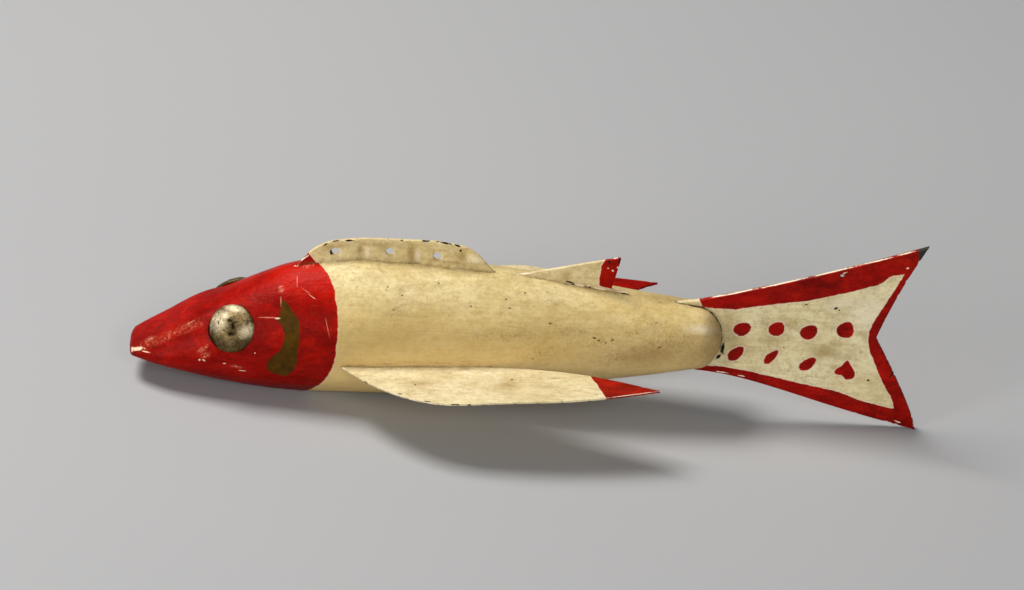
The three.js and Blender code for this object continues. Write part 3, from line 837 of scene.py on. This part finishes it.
def node(tree, kind, *feeds, named=None, out=0, **settings):
    """Adds one node: feeds for its sockets in order or by name, then its settings.

    A feed is a value, a hex colour or another node's output.
    """
    made = tree.nodes.new("ShaderNode" + kind)
    for key, value in settings.items():
        setattr(made, key, value)
    wanted = [*zip([socket for socket in made.inputs if socket.enabled], feeds)]
    wanted += [(made.inputs[key], feed) for key, feed in (named or {}).items()]
    for socket, feed in wanted:
        if isinstance(feed, bpy.types.NodeSocket):
            tree.links.new(feed, socket)
        else:
            socket.default_value = paint(feed) if isinstance(feed, str) else feed
    shown = [socket for socket in made.outputs if socket.enabled]
    return made.outputs[out] if isinstance(out, str) else shown[out] if shown else None


def material(name):
    made = bpy.data.materials.new(name)
    made.use_nodes = True
    made.node_tree.nodes.clear()
    return made, made.node_tree


def fish_place(tree):
    """The place in the fish's own frame in mm, for patterns that run along the fish."""
    row_place = node(tree, "TexCoord", out="Object")
    shift, turn = tuple(v / 1000 for v in REST_SHIFT), (0, -REST_PITCH, 0)
    return node(tree, "Mapping", row_place, shift, turn, (0.001,) * 3, vector_type="TEXTURE")


def patches(tree, place, size, low, high, start=0.0, end=1.0, stretch=(1, 1, 1), detail=4.0, rough=0.6):
    """Comes up from start to end in patches about size mm across, longer along the axes that stretch says."""
    spread = node(tree, "Mapping", place, (0, 0, 0), (0, 0, 0), tuple(1 / (size * s) for s in stretch))
    noise = node(tree, "TexNoise", spread, 1.0, detail, rough)
    return node(tree, "MapRange", noise, low, high, start, end)


def layers(tree, ground, *coats):
    """Lays coats over a ground, each a share from 0 to 1 and the colour that it brings."""
    for share, colour in coats:
        ground = node(tree, "Mix", share, ground, colour, data_type="RGBA")
    return ground


def edge_of(tree, place, label, softness, *ragged):
    """1 where a kept measure is more than 0 and else 0, with its edge ragged by (size, reach) in mm."""
    value = node(tree, "Attribute", attribute_name=label, out="Fac")
    for size, reach in ragged:
        shift = patches(tree, place, size, 0.25, 0.75, -reach, reach)
        value = node(tree, "Math", value, shift, operation="ADD")
    return node(tree, "MapRange", value, -softness, softness, 0.0, 1.0)


def marks(tree, place, spots, soft=0.12, strength=1.0, flecked=False):
    """1 on ragged small marks of the flat picture, each (across, up, half length, half width, tilt)."""
    picture = node(tree, "Attribute", attribute_name="picture", out="Vector")
    nearest = 9.0
    for across, up, long, wide, tilt in spots:
        turn = math.radians(-tilt)
        level = node(tree, "VectorRotate", picture, (across, up, 0), turn, rotation_type="Z_AXIS")
        scale, shift = (1 / long, 1 / wide, 0.002), (-across / long, -up / wide, 0)
        reach = node(tree, "VectorMath", level, scale, shift, operation="MULTIPLY_ADD")
        reach = node(tree, "VectorMath", reach, operation="LENGTH")
        nearest = node(tree, "Math", nearest, reach, operation="MINIMUM")
    ragged = patches(tree, place, 0.7, 0.25, 0.75, -0.45, 0.45, detail=3)
    total = node(tree, "Math", nearest, ragged, operation="ADD")
    share = node(tree, "MapRange", total, 1 + soft, 1 - soft, 0.0, strength)
    if not flecked:
        return share
    flecks = patches(tree, place, 0.5, 0.48, 0.6, 0.05, 1.0, detail=6, rough=0.8)
    return node(tree, "Math", share, flecks, operation="MULTIPLY")


def specks(tree, place, cell, radius, share, strength):
    """Specks of a radius in mm, at most one in a cell of a size in mm, and only in a share of the cells."""
    spread = node(tree, "Mapping", place, (0, 0, 0), (0, 0, 0), (1 / cell,) * 3)
    distance = node(tree, "TexVoronoi", spread, 1.0)
    colour = node(tree, "TexVoronoi", spread, 1.0, out="Color")
    size = node(tree, "MapRange", colour, share, 0.0, 0.0, radius / cell)
    inside = node(tree, "Math", size, distance, operation="SUBTRACT")
    return node(tree, "MapRange", inside, -0.1 * radius / cell, 0.3 * radius / cell, 0.0, strength)


def finished(tree, colour, roughness, height, **extra):
    """The shader at the end. The height in mm is raised by bump."""
    raised = node(tree, "Bump", named={"Strength": 1.0, "Distance": 0.001, "Height": height}, out="Normal")
    sockets = {"Base Color": colour, "Roughness": roughness, "Normal": raised, **extra}
    shader = node(tree, "BsdfPrincipled", named=sockets, out="BSDF")
    node(tree, "OutputMaterial", shader)


def aged_cream(tree, place, ground, yellowed, dirt):
    """Ivory oil paint gone yellow in clouds, rubbed in streaks along the grain and specked with dirt."""
    return layers(
        tree, ground,
        (patches(tree, place, 20, 0.36, 0.62, stretch=(1.8, 1, 1)), yellowed),
        (patches(tree, place, 3.2, 0.5, 0.7, 0, 0.4, stretch=(1.5, 1, 1), detail=5), "#f0e4bf"),
        (patches(tree, place, 6.0, 0.46, 0.7, 0, 0.45, stretch=(1.6, 1, 1), detail=5), dirt),
        (patches(tree, place, 1.9, 0.44, 0.66, 0, 0.4, stretch=(1.4, 1, 1), detail=6, rough=0.7), dirt),
        (patches(tree, place, 0.7, 0.48, 0.7, 0, 0.25, stretch=(16, 1, 1), detail=3), dirt),
        (patches(tree, place, 0.9, 0.5, 0.66, 0, 0.55, detail=6, rough=0.8), dirt),
        (patches(tree, place, 2.4, 0.56, 0.7, 0, 0.5, stretch=(2, 1, 1), detail=6, rough=0.8), "#8a6c36"),
        (specks(tree, place, 3.4, 0.18, 0.5, 0.65), "#66502a"),
        (specks(tree, place, 8.0, 0.26, 0.4, 0.8), "#4a3719"),
    )


def worn_red(tree, place, ground, deep):
    """Red oil paint: deeper in clouds, with fine dark pits and rubbed lighter along the fish."""
    return layers(
        tree, ground,
        (patches(tree, place, 13, 0.38, 0.66, stretch=(1.4, 1, 1)), deep),
        (patches(tree, place, 4.2, 0.46, 0.62, 0, 0.5, stretch=(1.7, 1, 1), detail=6, rough=0.7), "#c61c0a"),
        (patches(tree, place, 2.6, 0.46, 0.7, 0, 0.6, stretch=(2, 1, 1), detail=6, rough=0.75), "#600702"),
        (patches(tree, place, 0.8, 0.5, 0.7, 0, 0.6, detail=5, rough=0.75), "#4c0602"),
        (patches(tree, place, 1.3, 0.58, 0.78, 0, 0.4, stretch=(3, 1, 1), detail=6, rough=0.75), "#cf3f1f"),
        (specks(tree, place, 4.5, 0.13, 0.3, 0.6), "#dd9a80"),
    )


# Chips, scratches and rubs on the head: pale ground shows through the red; some pale rubs high on the head
# are painted highlights
HEAD_CHIPS = [
    (-83.4, -12.0, 1.3, 0.4, 8), (-84.6, -12.1, 0.25, 0.5, 0), (-81.6, -12.6, 0.9, 0.13, -12),
    (-51.9, -5.2, 0.55, 0.16, 0), (-47.9, 6.5, 0.6, 0.13, 5), (-44.2, -0.4, 0.9, 0.06, -35),
    (-68.4, -14.5, 0.4, 0.14, -30), (-69.4, -14.4, 0.22, 0.18, 0), (-59.9, -16.8, 0.9, 0.08, -5),
    (-57.0, -12.9, 0.16, 0.16, 0), (-63.9, -15.2, 0.3, 0.09, 0),
]
HEAD_SCRATCHES = [
    (-71.6, -6.2, 1.0, 0.08, 28), (-53.9, -5.0, 2.1, 0.09, -1), (-51.2, -1.4, 0.09, 0.9, 0),
    (-47.6, 3.0, 0.09, 1.1, 0), (-40.8, -7.3, 2.0, 0.08, -78), (-51.2, 1.9, 0.45, 0.1, 10),
    (-45.6, 0.9, 1.0, 0.06, -35), (-65.0, -4.2, 1.6, 0.08, 30),
]
# Rubs, and a painted highlight high on the head before the line-tie fin
HEAD_RUBS_AND_HIGHLIGHTS = [
    (-67.9, -13.3, 0.9, 0.45, 20), (-51.2, 1.2, 0.55, 0.5, 0), (-80.5, -9.7, 1.0, 0.4, 25),
    (-68.6, -12.0, 1.1, 0.4, 30), (-44.6, 6.9, 1.6, 0.5, 25), (-61.0, -15.9, 1.0, 0.25, -10),
]
BODY_SPECKS = [
    (-27.5, 1.8, 0.18, 0.18, 0), (-27.9, 1.1, 0.15, 0.15, 0), (-24.3, -0.1, 0.2, 0.14, 0),
    (-16.2, 2.6, 0.2, 0.16, 0), (-9.1, -2.5, 0.22, 0.18, 0), (-1.3, -1.0, 0.22, 0.18, 0),
    (2.9, 0.4, 0.24, 0.18, 0), (-0.5, -2.9, 0.35, 0.14, 0), (8.5, -6.3, 0.3, 0.2, 0),
    (18.2, -9.5, 0.4, 0.18, -15), (19.2, -10.1, 0.25, 0.16, 0), (22.3, -10.0, 0.45, 0.18, 30),
    (20.8, -10.6, 0.2, 0.14, 0), (32.7, -11.6, 0.36, 0.16, 25), (32.0, -6.2, 0.2, 0.14, 0),
    (4.6, -14.1, 0.18, 0.16, 0),
]
BODY_SCRATCHES = [
    (-18.2, -13.5, 0.9, 0.08, -3), (-9.8, -14.7, 1.6, 0.1, 0), (-16.0, -15.0, 2.6, 0.09, -1),
    (-28.0, -15.2, 2.2, 0.09, 0), (-22.5, -15.0, 1.4, 0.1, 2), (-25.5, -2.9, 1.3, 0.3, 24),
    (-24.0, -2.2, 0.7, 0.25, 10), (-18.9, 2.6, 3.8, 0.12, 8), (-26.5, -4.4, 0.5, 0.2, 30),
    (32.6, -1.7, 1.6, 0.12, 0), (-20.0, -15.8, 4.4, 0.16, -0.5), (-10.5, -15.9, 1.2, 0.12, 0),
]
BODY_RUBS = [
    (19.5, -10.3, 3.6, 1.4, 5), (23.9, -13.6, 4.9, 1.1, 8), (7.2, -12.5, 3.1, 1.1, 10),
    (31.6, -6.7, 4.5, 1.1, -20), (27.0, -8.5, 3.5, 0.8, 0), (14.0, -8.0, 6.0, 1.0, -4),
    (-2.0, -9.0, 8.0, 1.0, 0), (36.0, -9.5, 4.0, 2.0, 0),
]
# Brown stain and painted shade over the rear of the body, mostly low
REAR_BROWN = [
    (42.5, -12.6, 5.0, 2.6, 8), (31.0, -13.2, 7.0, 2.0, 10), (46.0, -8.5, 1.2, 4.5, 5),
    (36.5, -1.2, 6.0, 0.8, -8),
]
# A painted highlight on the body's rear end, beside the tail
REAR_SHEEN = [(41.7, -7.6, 2.6, 0.8, -6)]


def brushed_paint_on_wood():
    """Oil paint brushed on carved pine: a low satin over the long grain, and dull dark wood in its cuts."""
    made, tree = material("brushed_oil_paint_on_carved_pine")
    place = fish_place(tree)
    along, up = node(tree, "SeparateXYZ", place, out="X"), node(tree, "SeparateXYZ", place, out="Z")
    # Painted shade: the cream darkens from high on the back to below the middle of the side, less so towards
    # the rear
    lower = node(tree, "MapRange", up, 16.0, 6.0, 0.0, 0.6)
    towards_rear = node(tree, "MapRange", along, 70.0, 105.0, 1.0, 0.55)
    lower = node(tree, "Math", lower, towards_rear, operation="MULTIPLY")
    cream = layers(
        tree, aged_cream(tree, place, "#ecdfb2", "#deca90", "#a68c52"),
        # Painted shade low on the side
        (lower, "#c4a664"),
        # Painted bounce light: lighter and yellower low on the side, round the side fins' roots
        (node(tree, "MapRange", up, 5.0, -4.0, 0.0, 0.5), "#e8c888"),
        (marks(tree, place, BODY_RUBS, 0.8, 0.6, True), "#8f7443"),
        # Brown stain and painted shade at the rear
        (marks(tree, place, REAR_BROWN, 0.9, 0.45), "#7d5b2c"),
        # Painted highlight on the rear end
        (marks(tree, place, REAR_SHEEN, 0.9, 0.5), "#f3ead6"),
        (marks(tree, place, BODY_SCRATCHES, 0.5, 0.7, True), "#4b3617"),
        (marks(tree, place, BODY_SPECKS, 0.3, 0.85), "#3a2a12"),
    )
    # Dirt and painted shade darken the paint along the saw cuts and round the tacks, in patches
    seam = node(tree, "Attribute", attribute_name="seam", out="Fac")
    seam_grime_and_shade = node(tree, "MapRange", seam, 1.1, 0.0, 0.0, 0.6)
    crusts = patches(tree, place, 1.4, 0.46, 0.62, 0.0, 1.0, stretch=(2, 1, 1))
    broken_grime_and_shade = node(tree, "Math", seam_grime_and_shade, crusts, operation="MULTIPLY")
    olive = layers(tree, "#543804", (patches(tree, place, 2.2, 0.35, 0.7, detail=5), "#3a2502"))
    ridge_scuffs_and_highlight = node(tree, "Attribute", attribute_name="ridge_scuffs_and_highlight", out="Fac")
    flecks = patches(tree, place, 0.6, 0.5, 0.64, 0, 0.8, detail=5, rough=0.7)
    scuffs = node(tree, "Math", ridge_scuffs_and_highlight, flecks, operation="MULTIPLY")
    red = layers(
        tree, worn_red(tree, place, "#a60a02", "#7c0501"),
        # Painted light and shade: the red is brighter high on the head and darker low on it
        (node(tree, "MapRange", up, 11.0, 17.0, 0.0, 0.5), "#d61a04"),
        (node(tree, "MapRange", up, 1.0, -11.0, 0.0, 0.55), "#5c0300"),
        # Painted highlight: a lighter red band along the snout's soft edge; the flecks over it are scuffs
        (node(tree, "Math", ridge_scuffs_and_highlight, 0.2, operation="MULTIPLY"), "#b8452f"),
        (scuffs, "#d07a60"),
        (edge_of(tree, place, "gill_mark", 0.1, (1.6, 0.18), (0.5, 0.08)), olive),
        # Dirt and painted shade round the tacks and along the cuts, on the red
        (broken_grime_and_shade, "#4a0b04"),
        # Rubs and a painted highlight
        (marks(tree, place, HEAD_RUBS_AND_HIGHLIGHTS, 0.6, 1.0, True), "#dc957a"),
        (marks(tree, place, HEAD_SCRATCHES, 0.4, 0.6), "#e3a88e"),
        (marks(tree, place, HEAD_CHIPS, 0.25), "#eed3b6"),
    )
    head = edge_of(tree, place, "head_red", 0.1, (3.0, 0.22), (0.6, 0.1))
    bare = node(tree, "Attribute", attribute_name="bare", out="Fac")
    # Painted shade: a dark line in the open seam round the tail's slot at the body's rear end
    rear_only = node(tree, "MapRange", along, 124.0, 125.0, 0.0, 1.0)
    crack_shade = node(tree, "MapRange", seam, 0.2, 0.05, 0.0, 0.9)
    painted_crack_shade = node(tree, "Math", crack_shade, rear_only, operation="MULTIPLY")
    red_side = node(tree, "Attribute", attribute_name="head_red", out="Fac")
    colour = layers(
        tree, cream,
        # Dirt and painted shade along the cuts, on the cream
        (broken_grime_and_shade, "#8a6c3a"),
        (node(tree, "MapRange", red_side, -0.45, -0.1, 0.0, 0.4), "#e6bfa2"),
        (head, red),
        # Painted shade in the open seam
        (painted_crack_shade, "#241a0f"),
        (node(tree, "MapRange", bare, 0.15, 0.3, 0.0, 1.0), "#2f2318"),
    )
    grain = patches(tree, place, 0.7, 0.0, 1.0, 0.0, 0.1, stretch=(18, 1, 1), detail=3)
    lumps = patches(tree, place, 2.2, 0.0, 1.0, 0.0, 0.22, detail=6)
    roughness = patches(tree, place, 3.0, 0.3, 0.7, 0.3, 0.44, detail=5)
    height = node(tree, "Math", grain, lumps, operation="ADD")
    finished(tree, colour, roughness, height, **{"Specular IOR Level": 0.06})
    return made


# Pale and dark chipped spots, stained patches, painted highlights and painted shade on the fins and on the
# tail, on the flat picture
# Painted highlights beside the line-tie fin's holes and dents, where their walls face the light
FIN_PAINTED_HIGHLIGHTS = [
    (-32.15, 9.5, 0.5, 1.1, 0), (-20.9, 8.9, 0.6, 1.1, 0), (-38.1, 9.5, 0.3, 0.8, 0),
    (-26.2, 9.4, 0.3, 0.8, 0), (-15.6, 8.4, 0.35, 0.8, 0), (-8.6, 8.0, 1.3, 0.6, -20),
]
# Pale chipped spots; the chain of long thin marks along the left side fin's outer edge is partly worn paint,
# partly a painted highlight on that edge
FIN_CHIPS_AND_EDGE_HIGHLIGHT = [
    (-32.3, -19.35, 1.6, 0.2, -30), (-28.9, -21.0, 1.5, 0.2, -22), (-25.2, -22.3, 1.7, 0.2, -18),
    (-21.6, -23.25, 1.6, 0.2, -14), (-17.9, -23.95, 1.7, 0.2, -9), (-13.7, -24.3, 1.8, 0.2, -4),
    (-9.0, -24.35, 2.0, 0.18, 0), (-3.5, -24.25, 2.0, 0.13, 1), (5.0, -24.05, 1.6, 0.1, 2),
    (13.0, -23.65, 2.4, 0.09, 4), (15.0, 2.2, 1.3, 0.2, -10), (19.5, 1.4, 1.3, 0.18, -10),
    (-46.1, 8.15, 1.7, 0.13, 34), (2.9, 4.8, 1.0, 0.16, 0), (12.6, 2.7, 0.33, 0.14, 0),
    (16.9, 2.1, 0.5, 0.14, 10), (22.9, 8.2, 0.5, 0.2, 0), (21.3, 5.9, 0.2, 0.12, 0),
    (22.3, 5.4, 0.25, 0.2, 0), (23.5, 6.1, 0.2, 0.2, 0), (25.5, 0.3, 0.33, 0.18, 0),
    (-37.5, -16.2, 0.67, 0.2, -35), (26.8, -21.95, 5.6, 0.08, 7), (-10.2, -17.0, 0.8, 0.2, -10),
    (30.5, 1.0, 1.4, 0.14, 10),
]
FIN_DARK = [
    (-40.1, 9.4, 0.25, 0.5, 10), (-27.5, 10.2, 0.25, 0.25, 0), (-17.35, 8.8, 0.14, 0.4, 0),
    (20.5, 0.9, 1.7, 0.12, -9), (25.0, 0.3, 0.9, 0.14, -8), (13.0, 2.8, 0.8, 0.22, -15),
    (17.2, 1.7, 0.3, 0.22, 0), (26.3, 0.2, 0.2, 0.3, 0), (-41.2, 11.3, 0.5, 0.18, 30),
    (-39.0, 12.0, 0.7, 0.15, 10), (-36.1, 12.1, 0.8, 0.18, 0), (-24.4, 12.1, 0.3, 0.14, 0),
    (-19.0, 12.0, 1.1, 0.2, -2), (-16.4, 11.8, 0.4, 0.15, 0), (-14.6, 11.5, 1.2, 0.2, -12),
    (-12.0, 10.9, 0.8, 0.22, -22), (-11.4, 9.8, 0.25, 0.22, 0), (12.5, 2.9, 0.45, 0.2, -20),
    (13.5, 2.4, 0.5, 0.18, -20), (16.4, 1.8, 0.5, 0.13, 0), (23.8, 7.5, 0.3, 0.5, 0),
    (21.5, 7.4, 0.3, 0.3, 0), (1.0, 4.8, 0.3, 0.16, 0), (-32.3, -19.3, 0.5, 0.16, -30),
    (-24.6, -21.8, 0.5, 0.12, -12), (-18.5, -23.4, 0.8, 0.12, -6), (-12.5, -24.1, 0.9, 0.13, 0),
    (-9.4, -24.2, 0.5, 0.12, 0), (-6.0, -24.2, 0.8, 0.1, 0), (0.7, -24.0, 0.5, 0.1, 0),
    (-21.4, -19.8, 0.16, 0.14, 0), (0.0, -18.7, 0.18, 0.14, 0),
]
# Stained patches; the three on the line-tie fin's dents between its holes are painted shade in their hollows
FIN_STAINS_AND_DENT_SHADE = [
    (-33.5, 9.6, 0.7, 1.2, 0), (-22.2, 9.3, 0.7, 1.2, 0), (-10.9, 8.6, 0.6, 1.0, 0),
    (-38.5, 10.8, 3.0, 0.5, 10), (-28.5, 11.2, 4.0, 0.4, 0), (-14.0, 7.3, 6.0, 0.35, -8),
    (-10.7, -16.3, 0.9, 0.4, 0), (-0.5, -19.6, 2.2, 1.6, 20), (-20.0, -19.4, 3.0, 0.8, 0),
    (12.0, 4.2, 1.0, 0.8, 0),
]
# Pale chipped spots; the long thin marks along the tail's top edge are partly worn paint, partly a painted
# highlight on that edge
TAIL_CHIPS_AND_EDGE_HIGHLIGHT = [
    (46.0, -0.2, 1.6, 0.16, 9), (50.5, 0.65, 3.6, 0.16, 12), (60.5, 2.75, 5.0, 0.16, 12.8),
    (71.0, 5.15, 4.2, 0.15, 13.2), (80.5, 7.45, 3.4, 0.13, 13.6), (87.0, 9.15, 1.8, 0.13, 14),
    (73.8, 4.9, 0.5, 0.14, 20), (64.3, -23.9, 0.26, 0.2, 0), (70.1, -20.3, 0.26, 0.18, 0),
    (83.5, -23.2, 0.35, 0.16, 30), (86.1, -28.3, 0.7, 0.13, -20), (89.7, -28.4, 0.14, 0.7, 10),
    (51.1, -18.0, 0.8, 0.1, -12), (46.8, -17.2, 1.2, 0.12, -8), (87.6, 5.9, 0.3, 0.14, 10),
]
# Dark chipped spots; the two marks at the tail's root, in the open slot behind the body's end, are painted
# shade
TAIL_DARK = [
    (71.9, -3.0, 0.55, 0.24, 15), (72.7, -3.4, 0.2, 0.16, 0), (65.3, -2.1, 0.36, 0.11, -10),
    (79.4, -19.0, 0.3, 0.24, 0), (84.7, -17.5, 0.2, 1.2, -30), (46.9, -11.9, 0.42, 1.3, -6),
    (46.0, -13.7, 0.3, 0.7, -50), (60.5, -11.7, 0.15, 0.12, 0),
]
# Stained patches; the tall one just behind the body's end is the body's shadow on the tail, painted
TAIL_STAINS_AND_SHADOW = [
    (77.7, -12.7, 0.4, 0.3, 0), (49.5, -8.0, 1.8, 4.5, 20), (58.0, -9.6, 2.0, 1.2, 10),
    (62.0, -6.6, 3.0, 1.0, 0), (79.5, -9.5, 2.6, 1.0, -30), (70.0, -13.0, 3.0, 1.0, -10),
    (73.0, -16.5, 2.0, 0.6, -20),
]
# Painted highlights in the tail's hollow before the notch
TAIL_SHEEN = [(79.0, -4.4, 3.6, 3.0, -35), (73.0, -1.8, 3.0, 0.8, 12), (80.5, -9.0, 0.7, 2.4, 0)]


def paint_on_sheet(name, clean, yellowed, chips_and_edge_glints, dark, stains_and_shade, painted_highlights, seam_open):
    """Oil paint on thin sheet metal: smooth, a little glossy, with pale and dark nicks along every edge."""
    made, tree = material(name)
    place = fish_place(tree)
    aged = node(tree, "Attribute", attribute_name="aged", out="Fac")
    cream = layers(
        tree, aged_cream(tree, place, clean, yellowed, "#b39a66"),
        (node(tree, "Math", aged, 0.7, operation="MULTIPLY"),
         aged_cream(tree, place, "#f4e0a4", "#e6cc86", "#a98a4a")),
        # Stained patches, and painted shade and shadow
        (marks(tree, place, stains_and_shade, 0.8, 0.45), "#977433"),
        # Painted highlights
        (marks(tree, place, painted_highlights, 0.7, 0.5), "#f8f0d8"),
    )
    at_rim = node(tree, "Attribute", attribute_name="red", out="Fac")
    rim = node(tree, "MapRange", at_rim, -0.32, -0.2, 0.0, 0.6)
    worn = node(tree, "Attribute", attribute_name="from_edge", out="Fac")
    uneven = patches(tree, place, 0.9, 0.3, 0.7, -0.03, 0.37)
    ragged = node(tree, "Math", worn, uneven, operation="ADD")
    nicks = node(tree, "MapRange", ragged, 0.08, 0.0, 0.0, 0.8)
    black = node(tree, "Math", nicks, patches(tree, place, 2.2, 0.58, 0.62), operation="MULTIPLY")
    # Dirt and painted shade along the sheet's root, where it goes into the wood, in patches
    root = node(tree, "Attribute", attribute_name="root", out="Fac")
    seam_grime_and_shade = node(tree, "MapRange", root, 1.0, 0.0, 0.0, 0.5)
    broken_grime_and_shade = node(tree, "Math", seam_grime_and_shade, patches(tree, place, 1.5, 0.42, 0.62, 0.15, 1.0), operation="MULTIPLY")
    # Painted shade: a dark line in the seam along the sheet's root, in places
    crack_shade = node(tree, "MapRange", root, 0.25, 0.1, 0.0, 0.85)
    painted_crack_shade = node(tree, "Math", crack_shade, patches(tree, place, 1.6, *seam_open), operation="MULTIPLY")
    colour = layers(
        tree, cream,
        (rim, "#ecd3bd"),
        (edge_of(tree, place, "red", 0.07, (2.0, 0.14), (0.5, 0.06)),
         worn_red(tree, place, "#a40c03", "#7a0602")),
        (nicks, "#e2c8a6"),
        (black, "#2d251b"),
        # Dirt and painted shade at the root
        (broken_grime_and_shade, "#86704a"),
        # Painted shade in the seam
        (painted_crack_shade, "#1e170e"),
        # Pale chipped spots, and painted highlights along edges
        (marks(tree, place, chips_and_edge_glints, 0.25), "#f3e4c9"),
        # Dark chipped spots, and painted shade in the tail's open slot
        (marks(tree, place, dark, 0.25), "#1f1a13"),
        (edge_of(tree, place, "bare", 0.06, (1.0, 0.3)), "#35322d"),
    )
    height = patches(tree, place, 1.8, 0.0, 1.0, 0.0, 0.09, detail=6)
    roughness = patches(tree, place, 2.5, 0.3, 0.7, 0.28, 0.42, detail=5)
    finished(tree, colour, roughness, height, **{"Specular IOR Level": 0.08})
    return made


# Painted glints, dark hollows and painted shade on the crown of the tack that shows
TACK_PAINTED_GLINTS = [
    (-65.4, -6.0, 1.5, 1.5, 20), (-61.8, -2.8, 1.8, 0.6, -15), (-58.6, -7.9, 1.4, 1.0, 30),
    (-63.8, -4.6, 1.0, 0.7, 20),
]
TACK_DARK = [
    (-62.5, -5.6, 0.7, 0.4, 0), (-61.8, -6.8, 0.4, 0.8, 10), (-62.3, -8.6, 0.7, 0.5, 0),
    (-65.1, -6.1, 0.2, 0.35, 0),
]
TACK_SHADE = [(-59.8, -11.0, 3.6, 2.2, 30), (-61.8, -7.4, 1.2, 1.9, 10), (-64.6, -11.2, 2.4, 1.5, -25)]


def tarnished_brass():
    """Pressed brass gone dull: grey-gold with painted glints and a painted shade on its lower part, brown to
    black in its pits and round its rim.
    """
    made, tree = material("tarnished_pressed_brass")
    place = fish_place(tree)
    from_rim = node(tree, "Attribute", attribute_name="from_rim", out="Fac")
    colour = layers(
        tree, "#8f7c56",
        (patches(tree, place, 1.8, 0.4, 0.64, 0, 0.8, detail=6, rough=0.7), "#574930"),
        # Painted shade over the lower part of the crown
        (marks(tree, place, TACK_SHADE, 0.7, 0.75), "#41351f"),
        # Painted glints
        (marks(tree, place, TACK_PAINTED_GLINTS, 0.9, 0.85), "#fbecc8"),
        (patches(tree, place, 0.5, 0.54, 0.62, 0, 0.85, detail=5, rough=0.75), "#2b2214"),
        (marks(tree, place, TACK_DARK, 0.5, 0.95), "#120d07"),
        (node(tree, "MapRange", from_rim, 0.6, 0.1, 0.0, 0.6), "#43371f"),
    )
    roughness = patches(tree, place, 1.2, 0.35, 0.7, 0.3, 0.5, detail=5)
    height = patches(tree, place, 0.5, 0.0, 1.0, 0.0, 0.24, detail=5, rough=0.7)
    finished(tree, colour, roughness, height, Metallic=1.0)
    return made


wood_paint = brushed_paint_on_wood()
fin_paint = paint_on_sheet(
    "oil_paint_on_cut_sheet_fins", "#efe6c4", "#e4d6aa",
    FIN_CHIPS_AND_EDGE_HIGHLIGHT, FIN_DARK, FIN_STAINS_AND_DENT_SHADE, FIN_PAINTED_HIGHLIGHTS, (0.6, 0.7, 0.0, 0.7),
)
tail_paint = paint_on_sheet(
    "oil_paint_on_cut_sheet_tail", "#f7efc8", "#efe3b4",
    TAIL_CHIPS_AND_EDGE_HIGHLIGHT, TAIL_DARK, TAIL_STAINS_AND_SHADOW, TAIL_SHEEN, (0.4, 0.5, 0.2, 1.0),
)
brass = tarnished_brass()
# The picture shows only the tip of the far side fin, behind this place along the fish in mm
FAR_FIN_SHOWN_BEHIND = 103.0

for piece, node_name, slot, finish in (
    (body, "body", "painted_wood", wood_paint),
    (tail, "tail", "painted_tail", tail_paint),
    (line_fin, "line_tie_fin", "painted_fin", fin_paint),
    (rear_fin, "rear_dorsal_fin", "painted_fin", fin_paint),
    (left_fin, "left_side_fin", "painted_fin", fin_paint),
    (right_fin, "right_side_fin", "painted_fin", fin_paint),
    (left_tack, "left_eye", "tack", brass),
    (right_tack, "right_eye", "tack", brass),
):
    keep_picture(piece, FAR_FIN_SHOWN_BEHIND if piece is right_fin else 0.0)
    piece.data.materials.clear()
    piece.data.materials.append(finish)
    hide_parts(node_name)
    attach(piece, "root")


# Floor, light and camera
def studio():
    floor_mesh = bpy.data.meshes.new("floor")
    floor_mesh.from_pydata([(-6, -6, 0), (6, -6, 0), (6, 6, 0), (-6, 6, 0)], [], [(0, 1, 2, 3)])
    floor = bpy.data.objects.new("floor", floor_mesh)
    bpy.context.scene.collection.objects.link(floor)
    plain, tree = material("pale_matt_paper")
    cloud = patches(tree, node(tree, "TexCoord", out="Object"), 0.4, 0.3, 0.7, detail=2)
    tone = layers(tree, "#aeb0b4", (cloud, "#aaacb1"))
    finished(tree, tone, 0.9, 0.0)
    floor_mesh.materials.append(plain)


def softbox(name, place, size, watts, colour):
    light = bpy.data.lights.new(name, "AREA")
    light.shape = "RECTANGLE"
    light.size, light.size_y = size
    light.energy = watts
    light.color = paint(colour)[:3]
    lamp = bpy.data.objects.new(name, light)
    bpy.context.scene.collection.objects.link(lamp)
    lamp.location = place
    towards_fish = Vector((0, 0, 0.02)) - Vector(place)
    lamp.rotation_euler = towards_fish.to_track_quat("-Z", "Y").to_euler()


studio()
softbox("above", (-0.45, 0.18, 0.88), (0.42, 0.36), 9.8, "#fffaf2")
softbox("front_left", (-0.8, -0.72, 0.34), (0.26, 0.26), 3.5, "#fffaf2")
softbox("front_right", (0.3, -0.86, 0.6), (0.24, 0.18), 1.6, "#fffaf2")
softbox("front", (-0.2, -1.1, 0.4), (1.4, 0.8), 3.1, "#fff8ee")

world = bpy.data.worlds.new("studio")
world.use_nodes = True
backdrop = world.node_tree.nodes["Background"].inputs
backdrop["Color"].default_value = paint("#c9ccd2")
backdrop["Strength"].default_value = 0.22
bpy.context.scene.world = world
bpy.context.scene.view_settings.view_transform = "Standard"

# The lens is long: the camera stands 2 m away, and the picture is 1024 pixels wide
SENSOR, FOCAL_PIXELS, PICTURE_WIDTH, CAMERA_AWAY = 36, 9001, 1024, 2000
camera_data = bpy.data.cameras.new("camera")
camera_data.sensor_width = SENSOR
camera_data.lens = FOCAL_PIXELS / PICTURE_WIDTH * SENSOR
camera_data.clip_end = 50
camera = bpy.data.objects.new("camera", camera_data)
bpy.context.scene.collection.objects.link(camera)
eye = TARGET + LOOK_BACK * CAMERA_AWAY
axes = np.column_stack([tilted(way, REST_PITCH) for way in (LOOK_RIGHT, LOOK_UP, LOOK_BACK)])
camera.matrix_world = Matrix.Translation(Vector(to_row(eye))) @ Matrix(axes.tolist()).to_4x4()
bpy.context.scene.camera = camera
